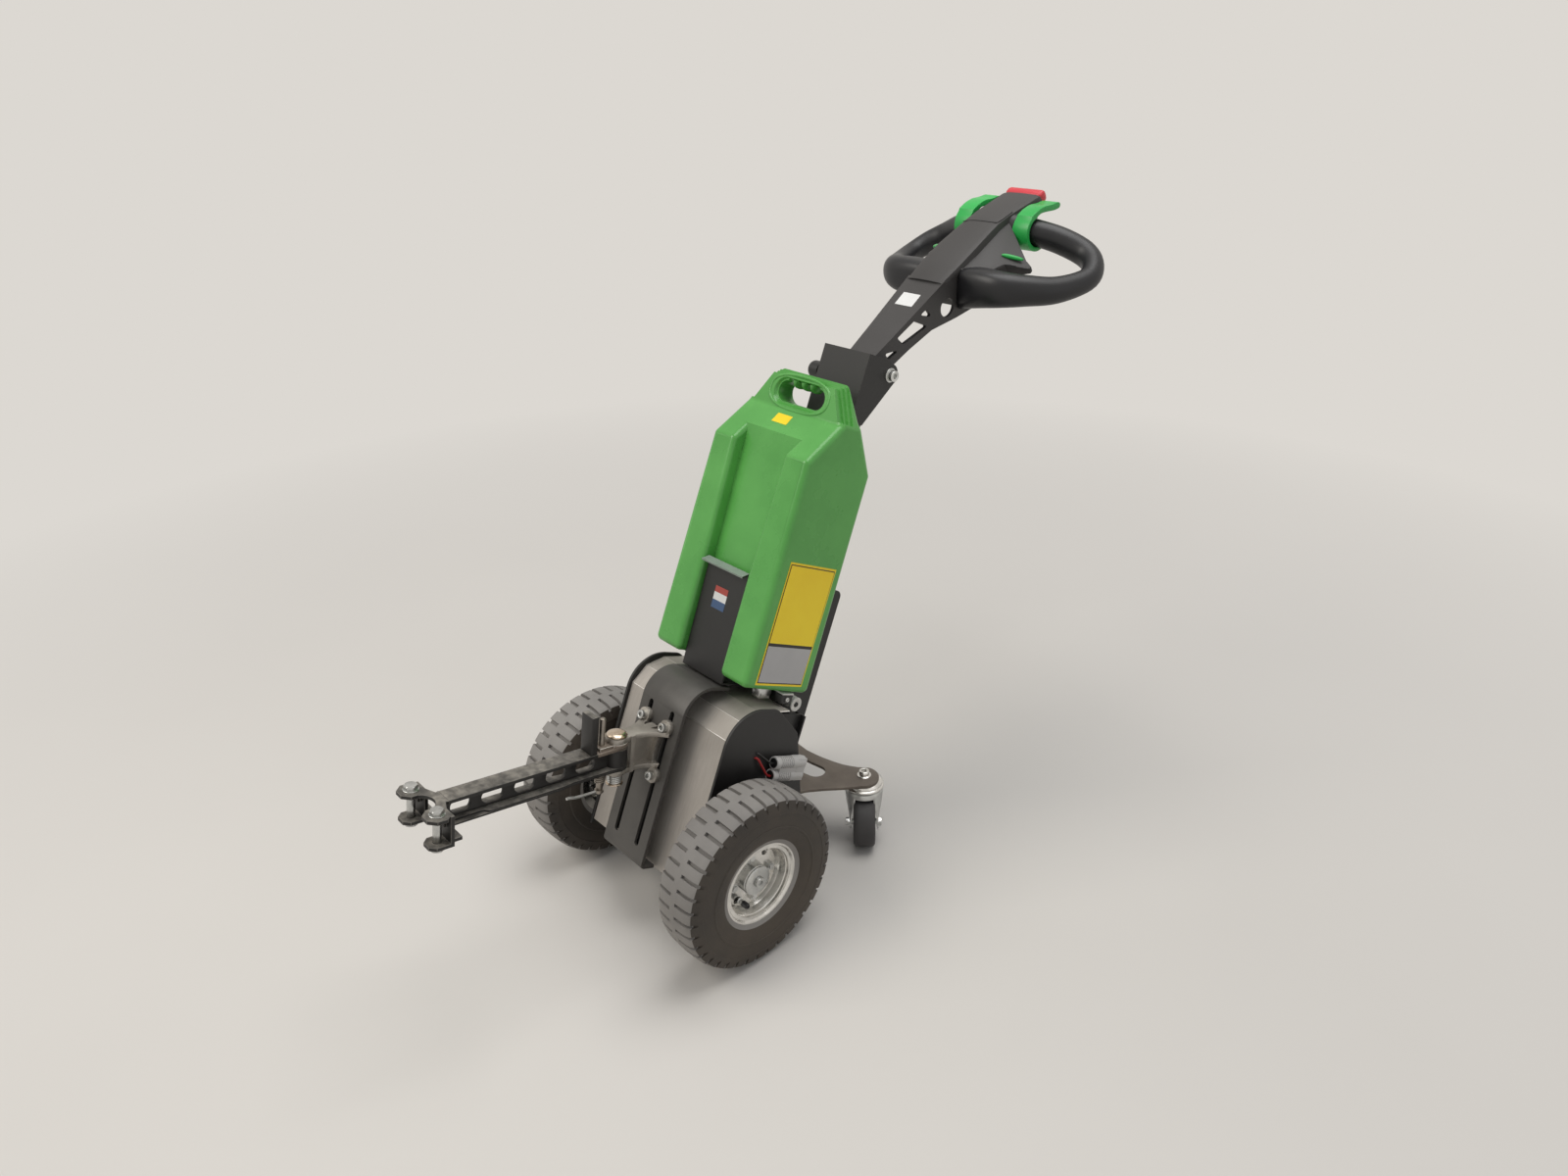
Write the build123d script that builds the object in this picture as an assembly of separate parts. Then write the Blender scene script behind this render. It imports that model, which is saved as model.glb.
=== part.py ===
from build123d import *
import math
import os

# Walk-behind electric tow tractor. Millimetres, +Z up, +X to the operator's left, +Y towards the
# tiller and the operator, -Y towards the towed load. The drive wheels, the castors, the tow arm and
# the tiller are separate bodies; all else is bolted to the chassis.

# Ground gear
WHEEL_RADIUS = 130.0
WHEEL_TRACK = 342.0
TYRE_WIDTH = 78.0
RIM_RADIUS = 62.0
RIM_WIDTH = 62.0
RIM_LIP = 10.0
RIM_DISC_OUT = 8.0
RIM_DISC_THICKNESS = 4.0
RIM_HOLE_CIRCLE = 38.0
RIM_HOLE_RADIUS = 5.5
HUB_RADIUS = 22.0
HUB_OUT = 22.0
HUB_FLANGE_RADIUS = 29.0
HUB_FLANGE_THICKNESS = 6.0
WHEEL_BOLT_CIRCLE = 33.0
WHEEL_STUD_RADIUS = 4.0
WHEEL_BOLT_COUNT = 4
AXLE_RADIUS = 11.0

# The leaning frame: everything above the axle leans back by this angle
LEAN_DEG = 24.0
PLATE_GAP = 0.3

# Chassis box, in the leaning frame (u runs up along the mast, n forward from it)
SIDE_PLATE_X = 110.0
SIDE_PLATE_THICKNESS = 4.0
CHASSIS_TOP_U = 336.0
CHASSIS_FRONT_N = 104.0
CHASSIS_FOOT_U = 66.0
CHASSIS_CORNER_RADIUS = 56.0
SIDE_PLATE_HEEL_U = 195.0
COVER_THICKNESS = 1.5
COVER_RIM = 3.0

# Drive unit inside the chassis, in the leaning frame
GEARBOX_HALF = 56.0
GEARBOX_FOOT_U = 62.0
GEARBOX_TOP_U = 178.0
GEARBOX_CLEARANCE = 12.0
MOTOR_RADIUS = 46.0
MOTOR_TOP_GAP = 30.0
MOTOR_N = 26.0

# Slotted hitch plate
HITCH_HALF_WIDTH = 46.0
HITCH_FRONT_N = 130.0
HITCH_THICKNESS = 5.0
HITCH_BEND_RADIUS = 45.0
HITCH_REAR_N = 56.0
SLOT_X = 24.0
SLOT_WIDTH = 8.6
SLOT_LOW_U = CHASSIS_FOOT_U + 31.0
SLOT_HIGH_U = CHASSIS_TOP_U - 44.0

# Tow arm and its pivot
ARM_PIVOT_U = CHASSIS_TOP_U - 112.65
ARM_PIVOT_N = HITCH_FRONT_N + 59.2
ARM_RISE_DEG = 10.0
ARM_HEIGHT = 36.0
ARM_WIDTH = 30.0
ARM_FLANGE = 5.0
ARM_WEB = 6.0
ARM_REACH = 280.0
ARM_KNUCKLE_RADIUS = 16.0
PIVOT_PIN_RADIUS = 8.0
CASTING_REACH = 64.0
FORK_HALF_SPACING = 34.0
FORK_EAR_RADIUS = 16.0
FORK_BOLT_RADIUS = 5.0
FORK_SLEEVE_RADIUS = 7.0
ARM_WINDOW_PITCH = 38.0
ARM_WINDOW_FIRST = 22.0
ARM_WINDOW_COUNT = 5
FORK_ROOT = 26.0
FORK_DROP = 6.0
FORK_POST = 5.0
FORK_FOOT_HALF = 14.0
ARM_FOOT_STEPS = (
    # s start, s end, width
    (0.0, 92.0, 26.0),
    (98.0, 186.0, 30.0),
    (192.0, 254.0, 34.0),
)
UPRIGHT_S = 42.0
UPRIGHT_HEIGHT = 60.0
LOCK_PIN_S = 25.0
LOCK_PIN_RADIUS = 4.5

# Castors
CASTOR_X = 112.0
CASTOR_Y = 294.0
CASTOR_WHEEL_RADIUS = 40.0
CASTOR_WHEEL_WIDTH = 26.0
CASTOR_TRAIL = 22.0
CASTOR_YAW_DEG = 45.0
CASTOR_PLATE_TOP = 113.0
CASTOR_PLATE_THICKNESS = 5.0
CASTOR_PLATE_END = 25.0
CASTOR_HEAD_TOP = CASTOR_PLATE_TOP - CASTOR_PLATE_THICKNESS
CASTOR_HEAD_HEIGHT = 9.0
CASTOR_HEAD_RADIUS = 28.0
CASTOR_STUD_RADIUS = 6.0
CASTOR_EYE_RADIUS = 11.0
CASTOR_FORK_PLATE = 2.5
CASTOR_FORK_GAP = 3.0
CASTOR_AXLE_RADIUS = 5.0

# Rear frame behind the chassis box, in the leaning frame
GUSSET_X = 72.0
GUSSET_THICKNESS = 4.0
ROLLER_U = CHASSIS_TOP_U - 10.0
ROLLER_N = -62.0
ROLLER_RADIUS = 10.0
ROLLER_WIDTH = 20.0

# Battery pack, in the leaning frame
BATTERY_FOOT_U = CHASSIS_TOP_U + 26.0
BATTERY_FOOT_DROP = 8.0
BATTERY_SHOULDER_U = BATTERY_FOOT_U + 318.0
BATTERY_NECK_U = BATTERY_FOOT_U + 374.0
BATTERY_TOP_U = BATTERY_FOOT_U + 429.0
BATTERY_FOOT_HALF = 102.0
BATTERY_HALF = 97.0
BATTERY_TOP_HALF = 66.0
BATTERY_FRONT_N = 87.0
BATTERY_REAR_N = -45.0
BATTERY_ROUND = 9.0
HANDLE_FRONT_N = 37.0
HANDLE_REAR_N = 13.0
HANDLE_HOLE_U = BATTERY_TOP_U - 30.0
HANDLE_HOLE_HALF = 46.0
HANDLE_HOLE_HEIGHT = 30.0
HANDLE_STEPS = (
    # depth, inset
    (8.0, 9.0),
    (14.0, 6.0),
    (20.0, 3.0),
)
FINGER_COUNT = 4
FINGER_PITCH = 17.0
FINGER_RADIUS = 9.0
CHANNEL_HALF = 46.0
CHANNEL_TOP_HALF = 52.0
CHANNEL_FLOOR_N = 67.0
CHANNEL_TOP_U = BATTERY_FOOT_U + 352.0
CHANNEL_ROUND = 8.0
MAST_CLEARANCE = 6.0
TERMINAL_X = 76.0
TERMINAL_HEIGHT = 18.0
HOLDER_N = 72.0
HOLDER_THICKNESS = 3.0
HOLDER_TOP_U = BATTERY_FOOT_U + 146.0
HOLDER_LIP_N = 91.0
TRAY_GAP = 1.0

# Mast and tiller bracket, in the leaning frame
MAST_HALF = 41.0
MAST_FRONT_N = -34.0
MAST_REAR_N = -58.0
MAST_TOP_U = BATTERY_FOOT_U + 413.0
BOX_REAR_N = -126.0
BOX_TOP_U = BATTERY_FOOT_U + 134.0
BRACKET_THICKNESS = 4.0
BRACKET_TOP_U = MAST_TOP_U + 67.0
BRACKET_FOOT_U = MAST_TOP_U - 31.0
TILLER_PIVOT_U = MAST_TOP_U + 48.0
TILLER_PIVOT_N = -84.0
BRACKET_EAR_RADIUS = 16.0
KNOB_U = MAST_TOP_U + 28.0
KNOB_N = -49.0

# Power connector and leads on the left side plate, in the leaning frame
CONNECTOR_X = SIDE_PLATE_X + SIDE_PLATE_THICKNESS + 9.5
CONNECTOR_U = 250.0
CONNECTOR_N = -24.0
CONNECTOR_LENGTH = 52.0
CONNECTOR_PITCH = 16.0
CONNECTOR_RADIUS = 8.0
LEAD_RADIUS = 2.6
LEAD_EXIT_X = SIDE_PLATE_X + SIDE_PLATE_THICKNESS
LEAD_HOLE_U = 267.0
LEAD_HOLE_N = 40.0

# Tiller
TILLER_RISE_DEG = 30.0
TILLER_ROOT_HALF = 24.0
TILLER_NECK_HALF = 35.0
TILLER_NECK_T = 164.0
TILLER_END_T = 399.0
TILLER_TOP_H = 28.0
TILLER_FLANGE = 4.0
TILLER_WALL = 5.0
HEAD_TOP_H = 34.0
HEAD_HALF = 33.0
WING_TIP_X = 100.0
WING_TIP_T = 272.0
WING_TIP_H = -16.0
WING_THICKNESS = 11.0
GRIP_RADIUS = 17.5
GRIP_BEND = 30.0
GRIP_ROUTE = (
    # x, t, h from the head outwards and back below it
    (20.0, 335.0, 0.0),
    (72.0, 341.0, -13.0),
    (104.0, 353.0, -33.0),
    (145.0, 353.0, -53.0),
    (172.0, 314.0, -54.0),
    (158.0, 260.0, -37.0),
    (138.0, 232.0, -21.0),
)
GRIP_SWELL = (
    # x, t, h, radius where the loop swells towards its root
    (110.0, 201.0, -2.0, 22.0),
    (78.0, 190.0, 4.0, 25.0),
)
GRIP_ROOT_X = 36.0
GRIP_ROOT_T = 200.0
GRIP_ROOT_H = -7.5
GRIP_ROOT_LENGTH = 46.0
GRIP_ROOT_HEIGHT = 58.0
THROTTLE_T = 339.0
THROTTLE_H = -8.6
THROTTLE_RADIUS = 27.0
THROTTLE_WALL = 4.5
THROTTLE_X = 41.0
THROTTLE_WIDTH = 27.0
PADDLE_END_T = 399.0


lean = math.radians(LEAN_DEG)
LEAN = Plane(origin=(0, 0, 0), x_dir=(1, 0, 0), z_dir=(0, -math.cos(lean), math.sin(lean)))
LEAN_SIDE = Plane(origin=(0, 0, 0), x_dir=(0, math.sin(lean), math.cos(lean)), z_dir=(1, 0, 0))



def lean_to_world(u, n):
    """Y and Z of a point of the leaning frame."""
    y = u * math.sin(lean) - n * math.cos(lean)
    z = u * math.cos(lean) + n * math.sin(lean)
    return y, z


arm_rise = math.radians(ARM_RISE_DEG)
arm_pivot_y, arm_pivot_z = lean_to_world(ARM_PIVOT_U, ARM_PIVOT_N)
ARM_TOP = Plane(
    origin=(0, arm_pivot_y, arm_pivot_z),
    x_dir=(1, 0, 0),
    z_dir=(0, math.sin(arm_rise), math.cos(arm_rise)),
)
ARM_SIDE = Plane(origin=ARM_TOP.origin, x_dir=-ARM_TOP.y_dir, z_dir=(-1, 0, 0))

pivot_y, pivot_z = lean_to_world(TILLER_PIVOT_U, TILLER_PIVOT_N)
tiller_rise = math.radians(TILLER_RISE_DEG)
TILLER = Plane(
    origin=(0, pivot_y, pivot_z),
    x_dir=(1, 0, 0),
    z_dir=(0, -math.sin(tiller_rise), math.cos(tiller_rise)),
)
TILLER_SIDE = Plane(
    origin=(0, pivot_y, pivot_z),
    x_dir=(0, math.cos(tiller_rise), math.sin(tiller_rise)),
    z_dir=(1, 0, 0),
)
TILLER_SECTION = Plane(origin=TILLER.origin, x_dir=(1, 0, 0), z_dir=-TILLER_SIDE.x_dir)


def outline(points, radii=None):
    """A closed face from corner points, each corner rounded by its radius where one is given."""
    face = make_face(Polyline(*points, close=True))
    for index, radius in (radii or {}).items():
        corner = Vector(*points[index])
        nearest = min(face.vertices(), key=lambda vertex: (Vector(*vertex) - corner).length)
        face = fillet(nearest, radius)
    return face


def folded(points, thickness):
    """A closed face of a sheet folded along points, its thickness laid to the right of the run."""
    inner = []
    for index, (a, b) in enumerate(points):
        directions = []
        if index > 0:
            directions.append(Vector(a - points[index - 1][0], b - points[index - 1][1]).normalized())
        if index < len(points) - 1:
            directions.append(Vector(points[index + 1][0] - a, points[index + 1][1] - b).normalized())
        normals = [Vector(d.Y, -d.X) for d in directions]
        middle = (normals[0] + normals[-1]).normalized()
        reach = thickness / middle.dot(normals[0])
        inner.append((a + middle.X * reach, b + middle.Y * reach))
    return make_face(Polyline(*points, *reversed(inner), close=True))


def across(face, x_low, x_high, plane=LEAN_SIDE):
    """Extrude a side-view face of the given side plane from x_low to x_high."""
    return extrude(plane.offset(x_low) * face, amount=x_high - x_low)


def rod(plane, radius, low, high, at=(0, 0)):
    """A round bar along a plane's normal, from low to high."""
    return extrude(plane.offset(low) * Pos(at[0], at[1]) * Circle(radius), amount=high - low)


def x_rod(radius, x_low, x_high, y, z):
    """A round bar along X."""
    return rod(Plane.YZ, radius, x_low, x_high, (y, z))


def side_sign(side):
    return 1 if side == "left" else -1


# Drive wheels

def tyre(side):
    """Solid section of the tyre: crowned tread, round shoulders, bulging walls, bead seat."""
    half = TYRE_WIDTH / 2
    bead = RIM_RADIUS - RIM_LIP
    seat = RIM_WIDTH / 2 - 3
    wall = (
        # x, radius
        (seat, bead),
        (seat, RIM_RADIUS),
        (half - 2.5, RIM_RADIUS + 13),
        (half, RIM_RADIUS + 30),
        (half - 0.6, WHEEL_RADIUS - 22),
        (half - 5, WHEEL_RADIUS - 7),
        (half - 13, WHEEL_RADIUS - 1.5),
    )
    mirrored = [(-x, radius) for x, radius in reversed(wall)]
    face = make_face(Polyline(*wall, (0, WHEEL_RADIUS), *mirrored, close=True))
    return Pos(side_sign(side) * WHEEL_TRACK / 2, 0, WHEEL_RADIUS) * revolve(face, Axis.X, 360)


def facing_out(solid, side):
    """Turn a wheel piece modelled for the left side to its side, and set it on the axle."""
    if side == "right":
        solid = mirror(solid, Plane.YZ)
    return Pos(side_sign(side) * WHEEL_TRACK / 2, 0, WHEEL_RADIUS) * solid


def rim(side):
    """Pressed dish with a rolled lip, and a disc with a hole between each pair of bolts."""
    edge = RIM_WIDTH / 2
    bead = RIM_RADIUS - RIM_LIP
    wall = 3.0
    disc = RIM_DISC_OUT
    back = disc - RIM_DISC_THICKNESS
    face = make_face(
        Polyline(
            (edge, RIM_RADIUS - 1),
            (edge, RIM_RADIUS - 3.5),
            (edge - 3.5, bead + 4),
            (edge - 8, bead - 1),
            (disc + 6, bead - 4),
            (disc, bead - 7),
            (disc, AXLE_RADIUS),
            (back, AXLE_RADIUS),
            (back, bead - 7),
            (back - 5, bead - wall),
            (-edge, bead - wall),
            (-edge, RIM_RADIUS - 1),
            (-edge + 1, RIM_RADIUS),
            (-edge + wall, RIM_RADIUS),
            (-edge + wall, bead),
            (edge - wall, bead),
            (edge - wall, RIM_RADIUS),
            (edge - 1, RIM_RADIUS),
            close=True,
        )
    )
    solid = revolve(face, Axis.X, 360)
    solid -= rod(Plane.YZ, HUB_RADIUS + 0.05, back - 1, disc + 1)
    for index in range(WHEEL_BOLT_COUNT):
        turn = 360 * index / WHEEL_BOLT_COUNT
        holes = Rot(0, 0, turn + 45) * Pos(RIM_HOLE_CIRCLE, 0) * Circle(RIM_HOLE_RADIUS)
        holes += Rot(0, 0, turn) * Pos(WHEEL_BOLT_CIRCLE, 0) * Circle(WHEEL_STUD_RADIUS + 0.3)
        solid -= extrude(Plane.YZ.offset(back - 1) * holes, amount=RIM_DISC_THICKNESS + 2)
    return facing_out(solid, side)


def hub(side):
    """Hub with a lobed flange behind the disc, wheel nuts, and a turned cap over the axle."""
    disc = RIM_DISC_OUT
    back = disc - RIM_DISC_THICKNESS
    barrel = make_face(
        Polyline(
            (-28, AXLE_RADIUS),
            (-28, HUB_RADIUS),
            (back - HUB_FLANGE_THICKNESS - 4, HUB_RADIUS),
            (back - HUB_FLANGE_THICKNESS, HUB_FLANGE_RADIUS),
            (back, HUB_FLANGE_RADIUS),
            (back, HUB_RADIUS),
            (HUB_OUT - 2.5, HUB_RADIUS),
            (HUB_OUT, HUB_RADIUS - 2.5),
            (HUB_OUT, 0),
            (disc + 1, 0),
            (disc + 1, AXLE_RADIUS),
            close=True,
        )
    )
    solid = revolve(barrel, Axis.X, 360)
    solid += rod(Plane.YZ, 5.5, HUB_OUT, HUB_OUT + 5)
    for index in range(WHEEL_BOLT_COUNT):
        at = Rot(0, 0, 360 * index / WHEEL_BOLT_COUNT) * Pos(WHEEL_BOLT_CIRCLE, 0)
        lobe = Plane.YZ.offset(back) * at * Circle(9.0)
        solid += extrude(lobe, amount=-HUB_FLANGE_THICKNESS)
        stud = Plane.YZ.offset(back) * at * Circle(WHEEL_STUD_RADIUS)
        solid += extrude(stud, amount=RIM_DISC_THICKNESS + 7)
        solid += extrude(Plane.YZ.offset(disc) * at * RegularPolygon(6.5, 6), amount=5)
    return facing_out(solid, side)


# Chassis

def side_plate(side):
    """Side of the chassis box: straight front, rounded top corner, sloping rear edge."""
    sign = side_sign(side)
    points = [
        (CHASSIS_FOOT_U - 8, CHASSIS_FRONT_N),
        (CHASSIS_TOP_U, CHASSIS_FRONT_N),
        (CHASSIS_TOP_U, 20.0),
        (CHASSIS_TOP_U - 36.0, -34.0),
        (SIDE_PLATE_HEEL_U, -84.0),
        (SIDE_PLATE_HEEL_U - 35.0, -84.0),
        (SIDE_PLATE_HEEL_U - 83.0, -60.0),
    ]
    face = outline(points, {1: CHASSIS_CORNER_RADIUS, 2: 20.0, 3: 12.0})
    low, high = sorted((sign * SIDE_PLATE_X, sign * (SIDE_PLATE_X + SIDE_PLATE_THICKNESS)))
    solid = across(face, low, high)
    solid -= x_rod(26.0, low - 1, high + 1, 0, WHEEL_RADIUS)
    return solid


def cover():
    """Folded stainless sheet between the side plates, bent three times round the top corner."""
    front = CHASSIS_FRONT_N - COVER_RIM
    top = CHASSIS_TOP_U - COVER_RIM
    points = [
        (CHASSIS_FOOT_U, front),
        (top - 44.0, front),
        (top - 15.0, front - 18.0),
        (top, front - 49.0),
        (top, -8.0),
    ]
    inner = SIDE_PLATE_X - PLATE_GAP
    return across(folded(points, COVER_THICKNESS), -inner, inner)


def hitch_plate():
    """Slotted plate that stands off the cover and bends back over its top."""
    high = CHASSIS_TOP_U + 6.0
    low = CHASSIS_FOOT_U
    t = HITCH_THICKNESS
    front = HITCH_FRONT_N
    rear = CHASSIS_FRONT_N + 1.0
    face = outline(
        [
            (low, rear),
            (low, front),
            (high, front),
            (high, HITCH_REAR_N),
            (high - t, HITCH_REAR_N),
            (high - t, front - t),
            (low + t, front - t),
            (low + t, rear),
        ],
        {1: 8.0, 2: HITCH_BEND_RADIUS, 5: HITCH_BEND_RADIUS - t, 6: 8.0 - t},
    )
    solid = across(face, -HITCH_HALF_WIDTH, HITCH_HALF_WIDTH)
    length = SLOT_HIGH_U - SLOT_LOW_U + SLOT_WIDTH
    middle = (SLOT_HIGH_U + SLOT_LOW_U) / 2
    for sign in (-1, 1):
        slot = Pos(sign * SLOT_X, middle) * Rot(0, 0, 90) * SlotOverall(length, SLOT_WIDTH)
        solid -= extrude(LEAN.offset(front - t - 1) * slot, amount=t + 2)
    return solid


CASTING_BOLT_ROWS = (CHASSIS_TOP_U - 135.0, CHASSIS_TOP_U - 63.0)
CASTING_EAR_RADIUS = 10.5
CASTING_PAD = 7.0
CASTING_WEB_HALF = 7.0
CASTING_LUG = 7.0
CASTING_POCKET = ARM_KNUCKLE_RADIUS + 4.0
CASTING_POCKET_WALL = 5.0
LATCH_PLATE_THICKNESS = 5.0
arm_top_v = ARM_HEIGHT / 2 + LATCH_PLATE_THICKNESS
lug_high_low = arm_top_v + PLATE_GAP
lug_low_high = -ARM_HEIGHT / 2 - PLATE_GAP


def casting_flange():
    """Plan of one flange: round lug at the pin, concave sides, flared towards the two ears."""
    lug = ARM_KNUCKLE_RADIUS
    reach = CASTING_REACH
    flare = SLOT_X + CASTING_EAR_RADIUS - 1
    body = make_face(
        [
            ThreePointArc((-flare, reach), (-lug + 2, reach * 0.55), (-lug, 0)),
            ThreePointArc((-lug, 0), (0, -lug), (lug, 0)),
            ThreePointArc((lug, 0), (lug - 2, reach * 0.55), (flare, reach)),
            Line((flare, reach), (-flare, reach)),
        ]
    )
    return body - Pos(0, reach) * Circle(SLOT_X - CASTING_EAR_RADIUS + 1)


def hitch_casting():
    """Four-eared casting: two lugs hold the arm's knuckle, a rounded wall and web join them."""
    face_n = HITCH_FRONT_N
    low, high = CASTING_BOLT_ROWS
    ears = [(sign * SLOT_X, row) for sign in (-1, 1) for row in CASTING_BOLT_ROWS]
    middle = (low + high) / 2
    waist = 15.0
    sag = 14.0
    pad = make_face(
        [
            ThreePointArc((-SLOT_X, low), (0, low + sag), (SLOT_X, low)),
            ThreePointArc((SLOT_X, low), (waist, middle), (SLOT_X, high)),
            ThreePointArc((SLOT_X, high), (0, high - sag), (-SLOT_X, high)),
            ThreePointArc((-SLOT_X, high), (-waist, middle), (-SLOT_X, low)),
        ]
    )
    for at in ears:
        pad += Pos(*at) * Circle(CASTING_EAR_RADIUS)
    plate = extrude(LEAN.offset(face_n) * pad, amount=CASTING_PAD)
    wall_high = lug_high_low + CASTING_LUG
    wall_low = lug_low_high - CASTING_LUG
    flange = casting_flange()
    solid = extrude(ARM_TOP.offset(lug_high_low) * flange, amount=CASTING_LUG)
    solid += extrude(ARM_TOP.offset(wall_low) * flange, amount=CASTING_LUG)
    hollow = Circle(CASTING_POCKET + CASTING_POCKET_WALL) - Circle(CASTING_POCKET)
    keep = Pos(0, CASTING_REACH / 2 + 6) * Rectangle(2 * ARM_KNUCKLE_RADIUS - 4, CASTING_REACH)
    web = hollow & keep
    web += Pos(0, CASTING_REACH / 2 + CASTING_POCKET / 2) * Rectangle(
        2 * CASTING_WEB_HALF, CASTING_REACH - CASTING_POCKET
    )
    solid += extrude(ARM_TOP.offset(wall_low) * web, amount=wall_high - wall_low)
    behind = extrude(LEAN.offset(face_n) * Pos(0, middle) * Rectangle(400, 400), amount=-200)
    solid = solid - behind + plate
    solid -= rod(ARM_TOP, PIVOT_PIN_RADIUS + 0.05, wall_low - 1, wall_high + 1)
    for at in ears:
        solid -= rod(LEAN, 4.2, face_n - 1, face_n + CASTING_PAD + 1, at)
        solid -= rod(LEAN, 7.2, face_n + CASTING_PAD, face_n + CASTING_PAD + 30, at)
    return solid


def casting_bolts():
    """Cap screws through the casting's ears and the slots, nuts behind the plate."""
    bolts = []
    for sign in (-1, 1):
        for row in CASTING_BOLT_ROWS:
            at = (sign * SLOT_X, row)
            head_n = HITCH_FRONT_N + CASTING_PAD
            rear_n = HITCH_FRONT_N - HITCH_THICKNESS
            bolt = rod(LEAN, 6.5, head_n, head_n + 8, at)
            bolt += rod(LEAN, 4.0, rear_n, head_n, at)
            nut = extrude(LEAN.offset(rear_n - 6) * Pos(*at) * RegularPolygon(7.5, 6), amount=6)
            bolts.append(bolt + nut)
    return Compound(children=bolts)


def pivot_pin():
    """Headed pin through lugs and knuckle, with a spring cup and washer below."""
    high = lug_high_low + CASTING_LUG
    low = lug_low_high - CASTING_LUG
    solid = rod(ARM_TOP, PIVOT_PIN_RADIUS, low - 22, high)
    head = rod(ARM_TOP, 14.5, high, high + 6)
    head = fillet(head.edges().sort_by(Axis.Z)[-1], 4.0)
    solid += head
    solid += rod(ARM_TOP, 9.5, low - 18, low - 2)
    solid += rod(ARM_TOP, 13.0, low - 20, low - 18)
    return solid


# Tow arm: s runs from the pivot to the tip, so local y of ARM_TOP is minus s

def arm_beam():
    """I-section beam: windows in its web, a stepped bottom flange, and a knuckle at the pivot."""
    half = ARM_HEIGHT / 2
    end = ARM_REACH - FORK_ROOT
    flange_low = half - ARM_FLANGE
    plan = Pos(0, -end / 2) * Rectangle(ARM_WIDTH, end)
    solid = extrude(ARM_TOP.offset(flange_low) * plan, amount=ARM_FLANGE)
    edge = []
    for s_start, s_end, width in ARM_FOOT_STEPS:
        edge += [(width / 2, -s_start), (width / 2, -s_end)]
    foot = make_face(Polyline(*edge, *[(-x, y) for x, y in reversed(edge)], close=True))
    solid += extrude(ARM_TOP.offset(-half) * foot, amount=ARM_FLANGE)
    web = across(
        make_face(Polyline((0, -half), (end, -half), (end, half), (0, half), close=True)),
        -ARM_WEB / 2,
        ARM_WEB / 2,
        ARM_SIDE,
    )
    for index in range(ARM_WINDOW_COUNT):
        s = end - ARM_WINDOW_FIRST - ARM_WINDOW_PITCH * index
        window = Pos(s, 0) * SlotOverall(28.0, 17.0)
        web -= across(window, -ARM_WEB, ARM_WEB, ARM_SIDE)
    solid += web
    solid += rod(ARM_TOP, ARM_KNUCKLE_RADIUS, -half, half)
    upright = Pos(0, -UPRIGHT_S) * Rectangle(19.0, 12.0)
    solid += extrude(ARM_TOP.offset(half) * upright, amount=UPRIGHT_HEIGHT)
    return solid - rod(ARM_TOP, PIVOT_PIN_RADIUS + 0.05, -half - 1, half + 1)


def latch_plate():
    """Plate on the arm's top under the pin's head that guides the lock pin."""
    base = ARM_HEIGHT / 2
    solid = rod(ARM_TOP, ARM_KNUCKLE_RADIUS, base, base + LATCH_PLATE_THICKNESS)
    solid += extrude(
        ARM_TOP.offset(base) * Pos(0, -18) * Rectangle(22.0, 32.0), amount=LATCH_PLATE_THICKNESS
    )
    solid -= rod(ARM_TOP, PIVOT_PIN_RADIUS + 0.05, base - 1, base + LATCH_PLATE_THICKNESS + 1)
    return solid


def lock_pin():
    """Sprung pin above the plate and below the arm, with the bent wire lever of its lower end."""
    half = ARM_HEIGHT / 2
    base = half + LATCH_PLATE_THICKNESS
    at = (0, -LOCK_PIN_S)
    upper = rod(ARM_TOP, LOCK_PIN_RADIUS, base, base + 40, at)
    lower = rod(ARM_TOP, LOCK_PIN_RADIUS, -half - 34, -half, at)
    start = -half - 20
    path = ARM_SIDE * FilletPolyline(
        (LOCK_PIN_S, start), (LOCK_PIN_S + 24, start), (LOCK_PIN_S + 52, start - 9), radius=10
    )
    section = Plane(origin=path @ 0, z_dir=path % 0) * Circle(2.0)
    return Compound(children=[upper, lower + sweep(section, path=path)])


def fork_plan():
    """Y-shaped plan of the fork's top: neck, hooked gap, and an eight-sided ear each side."""
    tip = -ARM_REACH
    root = tip + FORK_ROOT
    flat = FORK_EAR_RADIUS * math.tan(math.radians(22.5))
    right = [
        (ARM_WIDTH / 2, root),
        (ARM_WIDTH / 2 - 2, root - 4),
        (FORK_HALF_SPACING - flat, tip + FORK_EAR_RADIUS),
        (FORK_HALF_SPACING + flat, tip + FORK_EAR_RADIUS),
        (FORK_HALF_SPACING + FORK_EAR_RADIUS, tip + flat),
        (FORK_HALF_SPACING + FORK_EAR_RADIUS, tip - flat),
        (FORK_HALF_SPACING + flat, tip - FORK_EAR_RADIUS),
        (FORK_HALF_SPACING - flat, tip - FORK_EAR_RADIUS),
        (FORK_HALF_SPACING - FORK_EAR_RADIUS, tip - flat),
        (FORK_HALF_SPACING - FORK_EAR_RADIUS, tip + 2),
    ]
    left = [(-x, y) for x, y in reversed(right)]
    gap = ThreePointArc(right[-1], (0, tip + FORK_ROOT / 2), left[0])
    return make_face([*Polyline(*left, *right).edges(), gap])


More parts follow.
